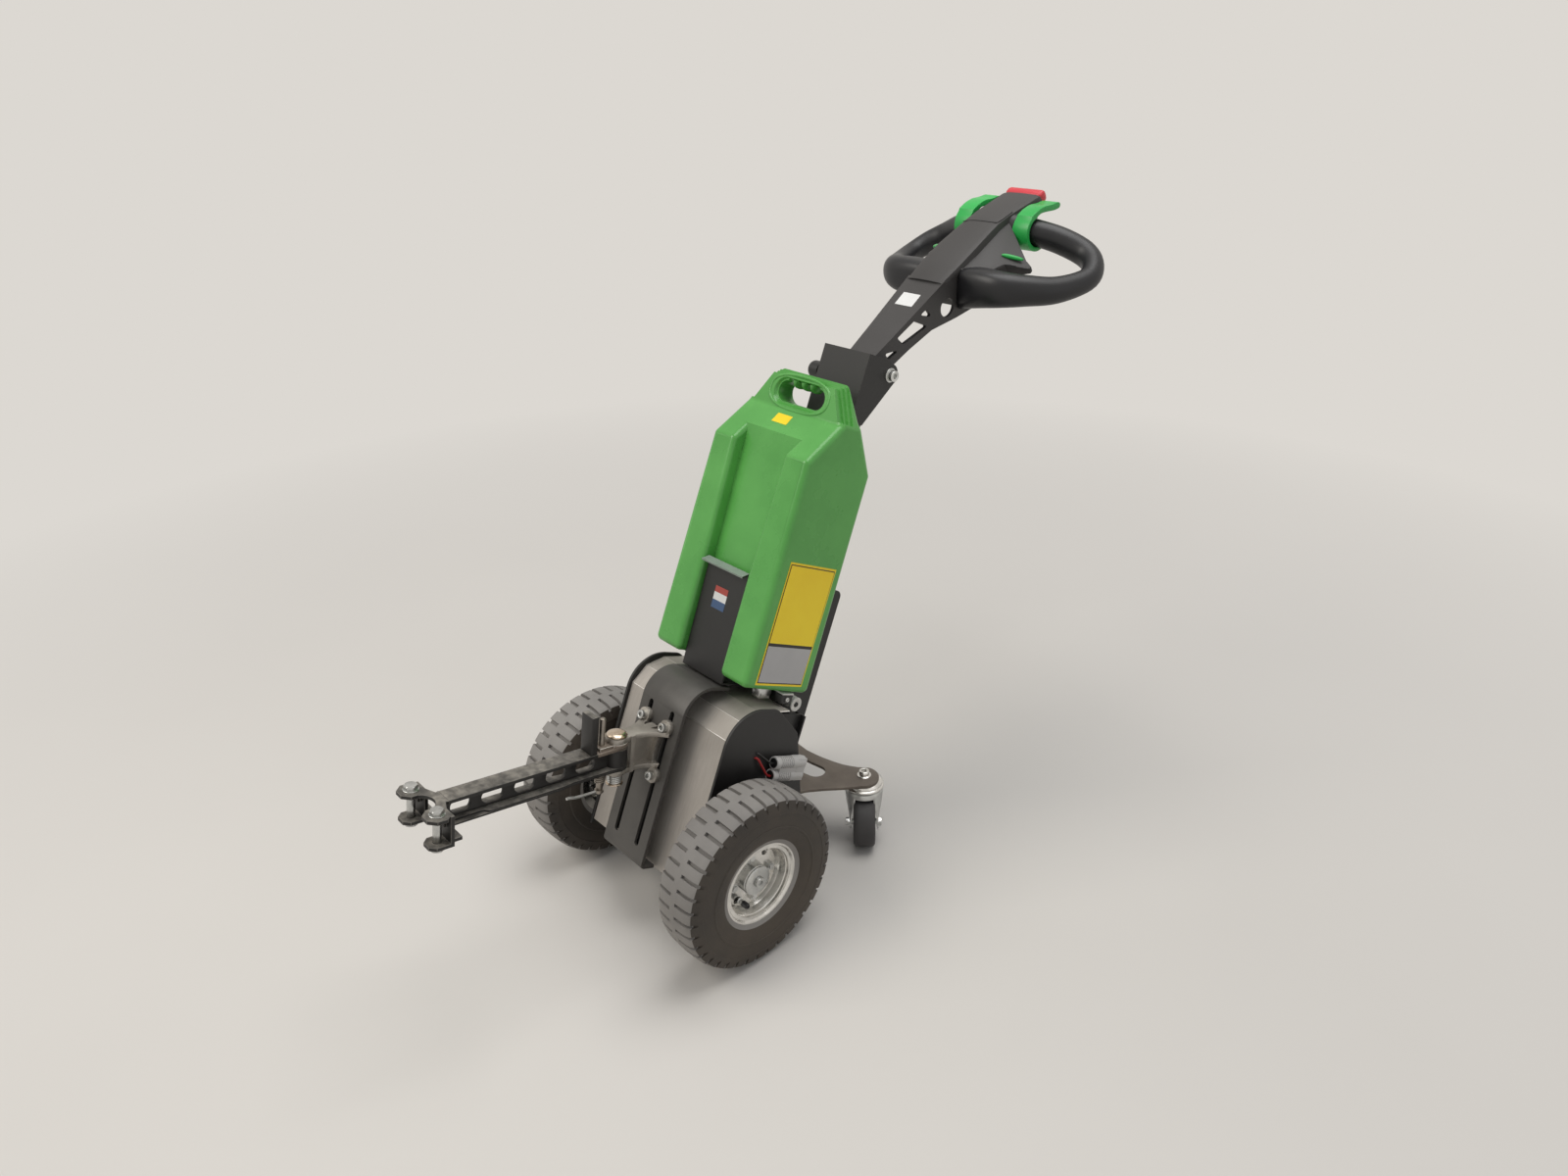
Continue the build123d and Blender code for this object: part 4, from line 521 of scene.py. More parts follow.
# %% Tyres
TREAD_PITCHES = 39
SLOT_DEPTH = 5.0
HALF_SECTION = (
    # across, radius, share of the slot's depth
    (0.0, 130.0, 0.0), (4.6, 130.0, 0.0), (5.2, 129.9, 1.0), (12.0, 129.7, 1.0),
    (20.0, 129.2, 1.0), (27.0, 128.2, 1.0), (31.0, 126.9, 1.0), (33.4, 125.2, 1.0),
    (34.7, 122.5, 0.8), (36.0, 118.5, 0.5), (37.2, 113.5, 0.0), (38.0, 110.0, 0.0),
    (38.4, 108.5, 0.0), (37.9, 107.5, 0.0), (38.7, 101.0, 0.0), (38.9, 94.0, 0.0),
    (38.7, 90.0, 0.0), (39.6, 89.0, 0.0), (39.6, 87.4, 0.0), (38.6, 86.4, 0.0),
    (38.0, 81.0, 0.0), (36.8, 75.0, 0.0), (35.3, 71.0, 0.0), (33.6, 67.5, 0.0),
    (32.2, 65.0, 0.0), (31.2, 61.0, 0.0),
)
# shares of one pitch at which a section stands; a slot lies on a side's middle within SLOT_HALF
STATIONS = (0.0, 0.12, 0.135, 0.365, 0.38, 0.5, 0.62, 0.635, 0.865, 0.88)
SLOT_HALF = 0.12
SHOULDER = 34.0


def tyre_mesh():
    """One tyre about the first axis. Gives the mesh; material 1 is slot rubber, material 2 wall rubber."""
    mesh = bmesh.new()
    section = [(-a, r, s) for a, r, s in HALF_SECTION[:0:-1]] + list(HALF_SECTION)
    rings = []
    sunk = []
    for pitch in range(TREAD_PITCHES):
        for station in STATIONS:
            angle = math.tau * (pitch + station) / TREAD_PITCHES
            ring = []
            for across, radius, share in section:
                centre = 0.25 if across > 0 else 0.75
                deep = share * SLOT_DEPTH if abs(station - centre) < SLOT_HALF else 0.0
                inward = 0.4 if abs(across) > SHOULDER else 0.0
                across -= math.copysign(inward * deep, across)
                sunk.append(deep > 0)
                radius -= deep * (1 - inward)
                ring.append((across, radius * math.cos(angle), radius * math.sin(angle)))
            rings.append(ring)
    skin(mesh, rings, loop=True)
    mesh.verts.ensure_lookup_table()
    for face in mesh.faces:
        in_slot = any(sunk[vert.index] for vert in face.verts)
        crown = all(abs(vert.co.x) < SHOULDER - 0.2 for vert in face.verts)
        face.material_index = 1 if in_slot else 0 if crown else 2
    return mesh


for side in ("left", "right"):
    tyre = piece("tyre_tread_" + side, tyre_mesh(), (tread_grey, slot_rubber, wall_rubber),
                 "wheel_" + side, wheel_frame(side), 28.0, "tyre_" + side)
print("tyre faces:", len(tyre.data.polygons))

# %% [markdown]
# ## Valve and wheel screws
#
# A small pneumatic wheel has one rubber valve that leans out of the rim, with a black dust cap. The
# hub's end carries a turned ring and the head of the axle screw.

# %% Valves and hub ends
for side in ("left", "right"):
    mesh = bmesh.new()
    turned(mesh, ((7.5, 0.1), (7.5, 5.2), (10, 5.0), (11, 3.4), (18, 3.2), (18, 0.1)), 20,
           at=(-22.5, -29.5))
    piece("valve_stem_" + side, mesh, bright_zinc, "wheel_" + side, wheel_frame(side))
    mesh = bmesh.new()
    turned(mesh, ((16.5, 0.1), (16.5, 4.4), (25, 4.2), (27, 3.2), (27, 2.0), (25.5, 1.6), (25.5, 0.1)),
           20, at=(-22.5, -29.5))
    piece("valve_cap_" + side, mesh, knob_black, "wheel_" + side, wheel_frame(side))
    mesh = bmesh.new()
    turned(mesh, ((22, 14.0), (22.8, 14.0), (22.8, 12.6), (22, 12.6)), 40)
    turned(mesh, ((20.5, 0.1), (20.5, 21.5), (22.8, 21.5), (23.6, 20.5), (24.2, 14.0), (24.4, 0.1)), 40)
    turned(mesh, ((24.5, 8.0), (26.5, 8.0), (28.5, 7.0), (28.8, 5.5), (28.8, 4.0), (26.5, 3.8),
                  (26.5, 0.1)), 24)
    piece("hub_end_" + side, mesh, bright_zinc, "wheel_" + side, wheel_frame(side))
print("valves and hub ends: 6 pieces")

# %% [markdown]
# ## Tiller head
#
# The head is an injection-moulded housing: a spine that falls to its nose, and a thin wing each side
# that shelters the hand. The frame has it as plain solids. Here the spine is a skin over ten
# sections with a slight crown, and its edges are rounded like a moulding's.

# %% Head housing, wings and seams
HEAD_SECTIONS = (
    # along, half width, top, bottom
    (158.0, 33.5, 35.0, 19.0), (199.0, 36.5, 35.5, 19.0), (202.0, 36.8, 35.5, -28.0),
    (240.0, 36.6, 34.5, -25.0), (270.0, 34.5, 32.5, -21.0), (303.0, 32.5, 30.0, -18.0),
    (330.0, 33.2, 25.5, -17.0), (352.0, 34.0, 20.0, -16.0), (398.0, 35.0, 8.5, -12.5),
    (403.0, 34.5, 6.5, -11.0),
)
WING = (
    # x, along, top, bottom
    (28.0, 199.0, 31.0, -27.0), (39.5, 199.0, 28.0, -27.0), (62.0, 217.0, 10.0, -22.0),
    (72.0, 251.0, 1.0, -22.0), (99.0, 269.0, -17.0, -26.0), (98.0, 275.0, -17.0, -26.0),
    (88.0, 280.0, -13.0, -25.0), (61.0, 266.0, 5.0, -24.0), (50.0, 285.0, 8.0, -26.0),
    (38.0, 322.0, 12.0, -28.0), (28.0, 330.0, 18.0, -28.0),
)
mesh = bmesh.new()
rings = []
for along, half, top, low in HEAD_SECTIONS:
    side_points = [(0.0, top + 1.2), (half - 10, top + 0.4), (half - 1.0, top - 1.6),
                   (half + 0.6, (top + low) / 2 + 2), (half, low + 4), (half - 5, low)]
    ring = side_points + [(-x, h) for x, h in side_points[:0:-1]]
    rings.append([(x, along, h) for x, h in ring])
skin(mesh, rings)
soften(mesh, 1.8, 3, 35)
head = piece("head_spine", mesh, tiller_grey, "tiller", TILLER, 30.0)
for sign in (1, -1):
    mesh = bmesh.new()
    top_ring = [(sign * x, along, high) for x, along, high, low in WING]
    low_ring = [(sign * x, along, low) for x, along, high, low in WING]
    skin(mesh, [low_ring, top_ring])
    bmesh.ops.triangulate(mesh, faces=[face for face in mesh.faces if len(face.verts) > 4])
    soften(mesh, 1.6, 2, 40)
    piece("head_wing_" + ("left" if sign > 0 else "right"), mesh, tiller_grey, "tiller", TILLER, 30.0)
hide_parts("tiller_head")
SEAMS = (
    ((-33.0, 157.6, 33.5), (-22.0, 157.6, 35.6), (0.0, 157.6, 36.4), (22.0, 157.6, 35.6),
     (33.0, 157.6, 33.5), (33.6, 157.6, 20.0)),
    ((-31.5, 298.0, 30.2), (-20.0, 302.0, 30.6), (0.0, 303.0, 31.3), (24.0, 304.0, 30.4),
     (29.5, 309.0, 28.8), (30.5, 340.0, 22.9)),
    ((40.0, 203.0, 27.6), (60.5, 218.0, 10.6), (71.0, 250.0, 1.2), (84.0, 259.5, -7.0)),
    ((-40.0, 203.0, 27.6), (-60.5, 218.0, 10.6), (-71.0, 250.0, 1.2), (-84.0, 259.5, -7.0)),
)
mesh = bmesh.new()
for route in SEAMS:
    wire(mesh, through(route, 4), 0.55, 6)
piece("head_seams", mesh, seam_and_shade_black, "tiller", TILLER)
mesh = bmesh.new()
for sign in (1, -1):
    centre = Vector((sign * 73.5, 269.0, 0.6))
    reach = Vector((sign * 13.5, 5.5, -7.0))
    rings = []
    for step in range(1, 14):
        turn = math.pi * step / 14
        at = centre - reach * math.cos(turn)
        rings.append([at + Vector((0, 3.4 * c, 3.0 * s)) * math.sin(turn) ** 0.6
                      for c, s in circle(1.0, 16)])
    skin(mesh, rings)
piece("wing_trims", mesh, throttle_green, "tiller", TILLER)

# %% [markdown]
# ## Loop grips
#
# Each grip is one closed loop of soft black plastic. A round bar leaves the head below the throttle,
# sweeps outwards and droops, turns back at the elbow and swells into a tall root under the wing. Eleven
# sections are enough: each has a place, a height, a width and how square it is.

# %% Grips
GRIP = (
    # x, along, above, half height, half width, squareness
    (24.0, 333.0, 3.0, 19.0, 18.0, 2.0), (61.0, 341.0, -11.0, 19.5, 18.0, 2.0),
    (98.0, 350.5, -29.5, 20.0, 18.0, 2.0), (134.0, 351.0, -48.0, 19.5, 17.5, 2.0),
    (159.5, 332.0, -53.0, 18.0, 16.5, 2.0), (169.5, 299.0, -50.0, 17.0, 16.5, 2.0),
    (153.0, 252.0, -33.0, 19.5, 18.0, 2.0), (126.0, 220.0, -13.0, 22.5, 20.0, 2.1),
    (100.0, 202.0, -1.0, 25.5, 22.0, 2.5), (70.0, 198.0, 0.0, 28.0, 22.5, 3.4),
    (34.0, 200.0, -6.5, 30.0, 23.0, 5.0),
)
upright_way = (0, math.sin(TILLER_RISE), math.cos(TILLER_RISE))
for side, sign in (("left", 1), ("right", -1)):
    mesh = bmesh.new()
    route = [(sign * row[0], *row[1:]) for row in through(GRIP, 6)]
    bar(mesh, route, upright_way, 32)
    piece("loop_" + side, mesh, grip_black, "tiller", TILLER, 60.0, node="grip_" + side)
print("grip sections:", len(route))

# %% [markdown]
# ## Throttles and safety button
#
# The thumb throttles are glossy green mouldings: an open ring round the bar that is drawn out into a
# paddle over the nose. The red button across the nose stops the tug when it meets the operator.

# %% Throttles and button
RING_AT = (338.0, -8.0)
mesh = bmesh.new()
for sign in (1, -1):
    outer = []
    for step in range(19):
        turn = math.radians(-62 - 208 * step / 18)
        outer.append((RING_AT[0] + 28 * math.cos(turn), RING_AT[1] + 28 * math.sin(turn)))
    blade = through([(336.0, 22.0), (352.0, 21.0), (368.0, 16.5), (382.0, 9.0), (395.0, 3.5),
                     (400.0, 0.0), (400.5, -4.5), (396.0, -7.0), (384.0, -2.5), (370.0, 5.5),
                     (356.0, 12.5), (346.0, 13.5)], 3)
    inner = []
    for step in range(15):
        turn = math.radians(66 + 232 * step / 14)
        inner.append((RING_AT[0] + 21.5 * math.cos(turn), RING_AT[1] + 21.5 * math.sin(turn)))
    outline = outer[:-1] + blade + inner
    skin(mesh, [[(sign * x, t, h) for t, h in outline] for x in (42.0, 70.0)])
soften(mesh, 2.6, 3, 50)
piece("throttle_pair", mesh, throttle_green, "tiller", TILLER, 35.0, node="throttles")
mesh = bmesh.new()
rings = []
for x, scale in ((-33.5, 0.6), (-32.0, 0.9), (-29.0, 1.0), (29.0, 1.0), (32.0, 0.9), (33.5, 0.6)):
    rings.append([(x, 410.0 + 8.5 * c * (abs(c) ** 3 + abs(s) ** 3) ** (-1 / 3) * scale,
                   -2.0 + 9.5 * s * (abs(c) ** 3 + abs(s) ** 3) ** (-1 / 3) * scale)
                  for c, s in circle(1.0, 28)])
skin(mesh, rings)
piece("nose_button", mesh, button_red, "tiller", TILLER, 50.0, node="safety_button")
print("throttle outline points:", len(outline))

# %% [markdown]
# ## Broken edges on the carried-over nodes
#
# No real edge is a perfect corner: a sheared plate keeps half a millimetre, a cast edge more, and a
# blown pack is rounded all over. Those thin bands are what catches the light. A bevel modifier cuts
# them on the frame's own nodes, after the flat triangles are merged back into whole faces. On the
# black coat, the pack and the casting the band's paler finish is a painted highlight; on the latch
# plate the same pale finish is rubbed wear, and so is the fork's grey one.

# %% Break the edges
EDGES = (
    # width in mm, finish of the band, nodes
    (0.5, None, ("hitch_plate",)),
    (0.5, coat_edge_painted_highlight, ("side_plate_left", "side_plate_right", "mast", "tiller_bracket")),
    (0.5, cast_edge_wear_and_highlight, ("latch_plate",)),
    (0.8, coat_edge_painted_highlight, ("controller_box",)),
    (0.8, None, ("tiller_arm",)),
    (0.8, rubbed_edge, ("arm_fork",)),
    (1.2, cast_edge_wear_and_highlight, ("hitch_casting",)),
    (0.9, case_edge_painted_highlight, ("battery",)),
)
for width, band, nodes in EDGES:
    for name in nodes:
        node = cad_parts[name]
        weld = node.modifiers.new("weld", "WELD")
        weld.merge_threshold = 0.02 * MM
        flat = node.modifiers.new("flat", "DECIMATE")
        flat.decimate_type = "DISSOLVE"
        flat.angle_limit = math.radians(0.5)
        edge = node.modifiers.new("edge", "BEVEL")
        edge.width = width * MM
        edge.segments = 2
        edge.limit_method = "ANGLE"
        edge.angle_limit = math.radians(38)
        edge.harden_normals = True
        # The band's own finish: a painted highlight on the coat, the pack and the casting, rubbed wear on
        # the latch plate and the fork.
        if band:
            node.data.materials.append(band)
            edge.material = len(node.material_slots) - 1
print("broken edges on", sum(len(nodes) for width, band, nodes in EDGES), "nodes")

# %% [markdown]
# ## Screws, nuts and washers
#
# A socket cap screw is turned, then a hexagon is pressed into its head; a hex bolt is forged with a
# round chamfer on its top. Both are skins over rings with the same number of points, where a ring is
# either a circle or a polygon. A table gives each kind as rows from its bearing face outwards.

# %% Fastener shapes
def sided(radius, sides, steps):
    """Points of a regular polygon, as many as a circle beside it has."""
    points = []
    for y, z in circle(1.0, steps):
        turn = math.atan2(z, y) % (math.tau / sides) - math.pi / sides
        reach = radius * math.cos(math.pi / sides) / math.cos(turn)
        points.append((y * reach, z * reach))
    return points


def headed(mesh, rows, steps=24):
    """Skin over (along, radius, sides) rows, where 0 sides is a circle."""
    return skin(mesh, [[(along, y, z) for y, z in (sided(radius, sides, steps) if sides
                                                   else circle(radius, steps))]
                       for along, radius, sides in rows])


def aimed(origin, direction, beside=(1, 0, 0)):
    """Frame in millimetres whose first axis points along a direction."""
    along = Vector(direction).normalized()
    third = Vector(beside).cross(along).normalized()
    return frame_of(origin, along, third.cross(along), third)


def repeated(places, kinds, steps=24):
    """One mesh with every kind of rows at every frame, in the row frame."""
    mesh = bmesh.new()
    for place in places:
        first = len(mesh.verts)
        for rows in kinds:
            headed(mesh, rows, steps)
        mesh.verts.ensure_lookup_table()
        bmesh.ops.transform(mesh, matrix=place, verts=mesh.verts[first:])
    return mesh


def cap_screw(head, high, socket, base=0.0):
    """Rows of a socket cap screw's head."""
    top = base + high
    return ((base, head, 0), (top - 0.9, head, 0), (top, head - 0.9, 0), (top, socket + 0.6, 0),
            (top - 0.5, socket, 6), (top - 0.55 * high, socket, 6))


def hex_head(corner, high, base=0.0):
    """Rows of a hex head or nut with its round chamfer."""
    top = base + high
    return ((base, corner, 6), (top - 0.9, corner, 6), (top, corner * 0.86, 0))


def washer(radius, base=0.0, thick=1.5):
    """Rows of a plain washer."""
    return ((base, radius, 0), (base + thick - 0.3, radius, 0), (base + thick, radius - 0.3, 0))


OUT = LEAN.to_3x3().col[2]
CASTING_SCREWS = [aimed(LEAN @ Vector((sign * 24, u, 137)), OUT) for sign in (-1, 1)
                  for u in (201, 273)]
screws = piece("casting_screws", repeated(CASTING_SCREWS, (
    cap_screw(6.5, 8.0, 3.4), ((-20.5, 3.4, 0), (-20, 4.0, 0), (0, 4.0, 0)),
    washer(8.0, -13.5), ((-18.5, 6.5, 0), (-17.8, 7.5, 6), (-13.5, 7.5, 6)))),
    bright_zinc, "chassis", Matrix())
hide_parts("casting_bolts")
print("casting screws:", len(CASTING_SCREWS))

# %% [markdown]
# ## Folded cover
#
# The cover is one stainless sheet between the side plates, folded three times over the top corner.
# A fold in 1.5 mm sheet keeps a radius of a few millimetres, and that narrow round band is coloured
# near white as a painted highlight: the bright line across the cover. The sheet is a strip of points
# with an arc at each fold.

# %% Cover sheet
def rounded(points, radius, steps=4):
    """Points of an open run of lines with each corner turned into an arc."""
    run = [Vector(points[0])]
    for before, corner, after in zip(points, points[1:], points[2:]):
        corner = Vector(corner)
        back = (Vector(before) - corner).normalized()
        ahead = (Vector(after) - corner).normalized()
        half = back.angle(ahead) / 2
        reach = radius / math.tan(half)
        centre = corner + (back + ahead).normalized() * (radius / math.sin(half))
        first = corner + back * reach - centre
        last = corner + ahead * reach - centre
        for step in range(steps + 1):
            run.append(centre + first.slerp(last, step / steps))
    return run + [Vector(points[-1])]


def sheet(mesh, points, thick, half_width, radius, steps=4):
    """Sheet of (along, above) points in the side view of a frame, folded with a radius."""
    run = rounded(points, radius, steps)
    inner = []
    for i, here in enumerate(run):
        ahead = (run[min(i + 1, len(run) - 1)] - run[max(i - 1, 0)]).normalized()
        inner.append(here + Vector((ahead.y, -ahead.x)) * thick)
    ring = run + inner[::-1]
    return skin(mesh, [[(x, u, n) for u, n in ring] for x in (-half_width, half_width)])


COVER_FOLDS = ((66, 101), (289, 101), (318, 83), (333, 52), (333, -8))
mesh = bmesh.new()
sheet(mesh, COVER_FOLDS, 1.5, 109.7, 3.8)
# The fold arcs, found by their short edges, take the near-white finish: a painted highlight on each bend.
for face in mesh.faces:
    face.material_index = 1 if min(edge.calc_length() for edge in face.edges) < 1.2 else 0
piece("cover_sheet", mesh, (stainless, fold_painted_highlight), "chassis", LEAN, 12.0, node="cover")
print("folds in the cover:", len(COVER_FOLDS) - 2)

# %% [markdown]
# ## Tow arm
#
# The arm is welded from strips: a flat top strip, a foot strip that steps wider towards the fork,
# and a web with five long windows. All are cut from plate, so one helper fills a flat outline with
# its holes and gives it thickness and broken edges. A 2D curve does all of that at once. Near the
# pivot the top strip is bare brown steel, where the casting rubs it as the arm swings.

# %% Cut plate helper
def cut_plate(mesh, loops, thick, lay, soft=0.5, index=0):
    """Add a flat plate: the first loop is its rim, the others are holes, and lay places it."""
    curve = bpy.data.curves.new("cut", "CURVE")
    curve.dimensions = "2D"
    curve.fill_mode = "BOTH"
    curve.extrude = thick / 2 - soft
    curve.bevel_depth = soft
    curve.bevel_resolution = 1
    curve.offset = -soft
    for loop in loops:
        spline = curve.splines.new("POLY")
        spline.points.add(len(loop) - 1)
        spline.points.foreach_set("co", [c for x, y in loop for c in (x, y, 0.0, 1.0)])
        spline.use_cyclic_u = True
    thing = bpy.data.objects.new("cut", curve)
    data = bpy.data.meshes.new_from_object(thing)
    part = bmesh.new()
    part.from_mesh(data)
    bmesh.ops.remove_doubles(part, verts=part.verts, dist=0.01)
    for vert in part.verts:
        vert.co = Vector(lay(vert.co.x, vert.co.y, vert.co.z + thick / 2))
    for face in part.faces:
        face.material_index = index
    part.to_mesh(data)
    part.free()
    mesh.from_mesh(data)
    bpy.data.objects.remove(thing)
    bpy.data.curves.remove(curve)
    bpy.data.meshes.remove(data)


def box_mesh(mesh, low, high, soft=0.8):
    """Rounded block between two corners."""
    made = bmesh.ops.create_cube(mesh, size=1.0)["verts"]
    for vert in made:
        vert.co = Vector([a + (b - a) * (c + 0.5) for a, b, c in zip(low, high, vert.co)])
    edges = {edge for vert in made for edge in vert.link_edges}
    bmesh.ops.bevel(mesh, geom=list(edges), offset=soft, segments=2, profile=0.5, affect="EDGES")


def mirrored(half):
    """Closed loop from its half on the side of positive x."""
    return list(half) + [(-x, y) for x, y in reversed(half) if x > 0.01]


def stadium(middle, length, width, steps=10):
    """Loop of a long hole with round ends."""
    reach = (length - width) / 2
    return [(middle + math.copysign(reach, x) + x, y)
            for x, y in circle(width / 2, 2 * steps, math.pi / (2 * steps))]


print("cut plate ready")

# %% Tow arm beam
WINDOWS = ((51.0, 31.0), (96.7, 31.0), (143.0, 30.5), (189.0, 31.0), (233.0, 28.0))
BEAM_END = 254.0
knuckle = [(16.0 * math.sin(turn), -16.0 * math.cos(turn)) for turn in
           [math.pi / 2 * step / 8 for step in range(9)]]
mesh = bmesh.new()


def flat_at(level):
    """Placing of a sheet that lies flat in the arm with its lower face at a level."""
    return lambda x, s, out: (x, level + out, s)


cut_plate(mesh, [mirrored([(x * 0.86, s) for x, s in knuckle] + [(13.8, 39.0)])], 5.0, flat_at(13.0),
          0.6, 1)
cut_plate(mesh, [mirrored([(13.8, 39.0), (13.8, BEAM_END)])], 5.0, flat_at(13.0), 0.6)
foot = knuckle + [(14.0, 20.0), (13.2, 76.0), (13.8, 80.0), (15.2, 88.0), (15.8, 92.0)]
cut_plate(mesh, [mirrored(foot + [(15.8, BEAM_END)])], 2.6, flat_at(-18.0), 0.5)
cut_plate(mesh, [mirrored(foot + [(15.6, 197.0), (14.6, 200.0), (10.0, 205.0), (9.2, 208.0),
                                  (9.2, BEAM_END)])], 2.6, flat_at(-15.4), 0.5)
web = [(0.0, -13.0), (BEAM_END, -13.0), (BEAM_END, 13.2), (0.0, 13.2)]
cut_plate(mesh, [web] + [stadium(middle, length, 18.5) for middle, length in WINDOWS], 6.0,
          lambda s, above, out: (out - 3.0, above, s), 0.6)
skin(mesh, [[(x, above, s) for x, s in circle(15.6, 32)] for above in (-13.0, 13.1)])
box_mesh(mesh, (-13.2, 17.5, 39.3), (13.2, 74.0, 50.0), 2.0)
piece("arm_beam_welded", mesh, (arm_black, brown_steel), "tow_arm", ARM, 30, node="arm_beam")
print("windows in the web:", len(WINDOWS))

# %% [markdown]
# ## Pivot pin, lock pin and their springs
#
# The arm turns on a headed pin whose forged dome is rubbed brown and shiny. Below the casting a
# short spring in bright wire keeps it from rattling. Behind it the lock pin rises beside the upright
# block, and its bent wire lever sticks out below the arm. A spring is a bar swept along a helix.

# %% Pins, spring and lever
def helix(start, end, radius, turns, per_turn=14):
    """Points of a helix along the third axis of a frame."""
    return [(radius * math.cos(math.tau * i / per_turn), radius * math.sin(math.tau * i / per_turn),
             start + (end - start) * i / (turns * per_turn)) for i in range(turns * per_turn + 1)]


def upright_frame(s):
    """Frame whose first axis stands square on the tow arm, at s from its pivot."""
    origin = ARM @ Vector((0, 0, s))
    return aimed(origin, ARM.to_3x3().col[1])


mesh = bmesh.new()
headed(mesh, ((30.3, 13.2, 0), (31.0, 14.3, 0), (32.6, 14.4, 0), (34.4, 12.8, 0), (35.7, 9.4, 0),
              (36.2, 5.0, 0), (36.3, 0.6, 0)), 32)
headed(mesh, ((-45.5, 7.2, 0), (-44.5, 7.95, 0), (30.4, 7.95, 0)), 32)
headed(mesh, ((-43.5, 11.5, 0), (-43.0, 12.0, 0), (-41.8, 12.0, 0), (-41.4, 11.5, 0)), 32)
piece("pivot_pin_forged", mesh, dome_steel, "chassis", upright_frame(0), node="pivot_pin")
mesh = bmesh.new()
wire(mesh, [(z, x, y) for x, y, z in helix(-41.0, -26.5, 9.3, 5)], 1.25, 8, WAY_X)
piece("pivot_spring", mesh, bright_zinc, "chassis", upright_frame(0), 60)
mesh = bmesh.new()
headed(mesh, ((23.0, 4.5, 0), (61.0, 4.5, 0), (62.6, 3.6, 0), (63.0, 2.4, 0)), 20)
headed(mesh, ((-52.0, 3.6, 0), (-51.0, 4.5, 0), (-18.0, 4.5, 0)), 20)
wire(mesh, [(z, x, y) for x, y, z in helix(-34.0, -18.5, 6.4, 5)], 0.9, 8, WAY_X)
headed(mesh, ((-49.8, 6.2, 0), (-45.6, 6.2, 0)), 20)
piece("lock_pin_sprung", mesh, turned_steel, "tow_arm", upright_frame(25), 50,
      node="lock_pin")
mesh = bmesh.new()
lever = through([(-47.7, 0.0, 0.0), (-47.9, 0.0, 12.0), (-47.6, 0.0, 26.0), (-46.6, 0.0, 39.0),
                 (-44.8, 0.0, 47.0), (-44.6, 0.0, 52.0)], 5)
wire(mesh, lever, 2.0, 10, WAY_X)
piece("lock_lever", mesh, bright_zinc, "tow_arm", upright_frame(25), 50)
print("pins: pivot, lock")

# %% [markdown]
# ## Fork bolts and tiller bolt
#
# Two hex bolts stand in the fork's ears and carry turned sleeves that the load's eye bears on. The
# tiller turns on one more, with a washer under its cap.

# %% Fork and tiller bolts
UPWARD = ARM.to_3x3().col[1]
ears = [aimed(ARM @ Vector((sign * 34, 0, 280)), UPWARD) for sign in (-1, 1)]
bolts = piece("fork_bolts_hex", repeated(ears, (
    washer(10.0, 18.0), hex_head(8.8, 6.0, 19.5), ((-28.5, 4.0, 0), (-27.5, 4.5, 0), (18.2, 4.5, 0)),
    ((-19.0, 4.9, 0), (-18.4, 5.3, 0), (12.4, 5.3, 0), (13.0, 4.9, 0)),
    ((-30.0, 8.2, 0), (-29.2, 9.5, 6), (-24.0, 9.5, 6)))), bright_zinc, "tow_arm", Matrix())
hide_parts("fork_bolts")
pivot = LEAN @ Vector((0, 823, -84))
tiller_bolts = [aimed(pivot, (1, 0, 0), (0, 1, 0))]
piece("tiller_bolt_capped", repeated(tiller_bolts, ( ((-45.0, 5.95, 0), (45.0, 5.95, 0)),
      washer(10.5, 45.0, 1.6), cap_screw(8.2, 8.2, 4.2, 46.6), ((-53.0, 8.0, 0), (-52.2, 9.5, 6),
      (-46.6, 9.5, 6)), ((-46.6, 10.5, 0), (-45.0, 10.5, 0)))), bright_zinc, "chassis", Matrix(),
      node="tiller_bolt")
print("bolts:", len(ears) + 1)

# %% [markdown]
# ## Slot shade
#
# Behind each slot of the hitch plate stands a thin black bar: painted shade for the dark cavity
# behind the plate, so the slot looks deep and dark. Two thin bars are enough, because only their
# front faces show.

# %% Slot shade
# Thin black bars behind the slots: painted shade.
mesh = bmesh.new()
for sign in (1, -1):
    box_mesh(mesh, (sign * 24 - 8, 92.0, 119.5), (sign * 24 + 8, 298.0, 123.0), 0.5)
shade_bars = piece("slot_rails", mesh, seam_and_shade_black, "chassis", LEAN, 30)
print("slot rails:", len(shade_bars.data.vertices))

# %% [markdown]
# ## Castor plate
#
# The castor plate is a dark boomerang of 5 mm plate: a hollow rear edge, round ends over the castors
# and one long opening with round ends. Its outline is half a dozen points and an arc, and smooth
# curves run between them as a laser would cut them.

# %% Castor plate
def arc(centre, radius, first, last, steps=10):
    """Points of an arc between two angles in degrees."""
    turns = [math.radians(first + (last - first) * step / steps) for step in range(steps + 1)]
    return [(centre[0] + radius * math.cos(t), centre[1] + radius * math.sin(t)) for t in turns]


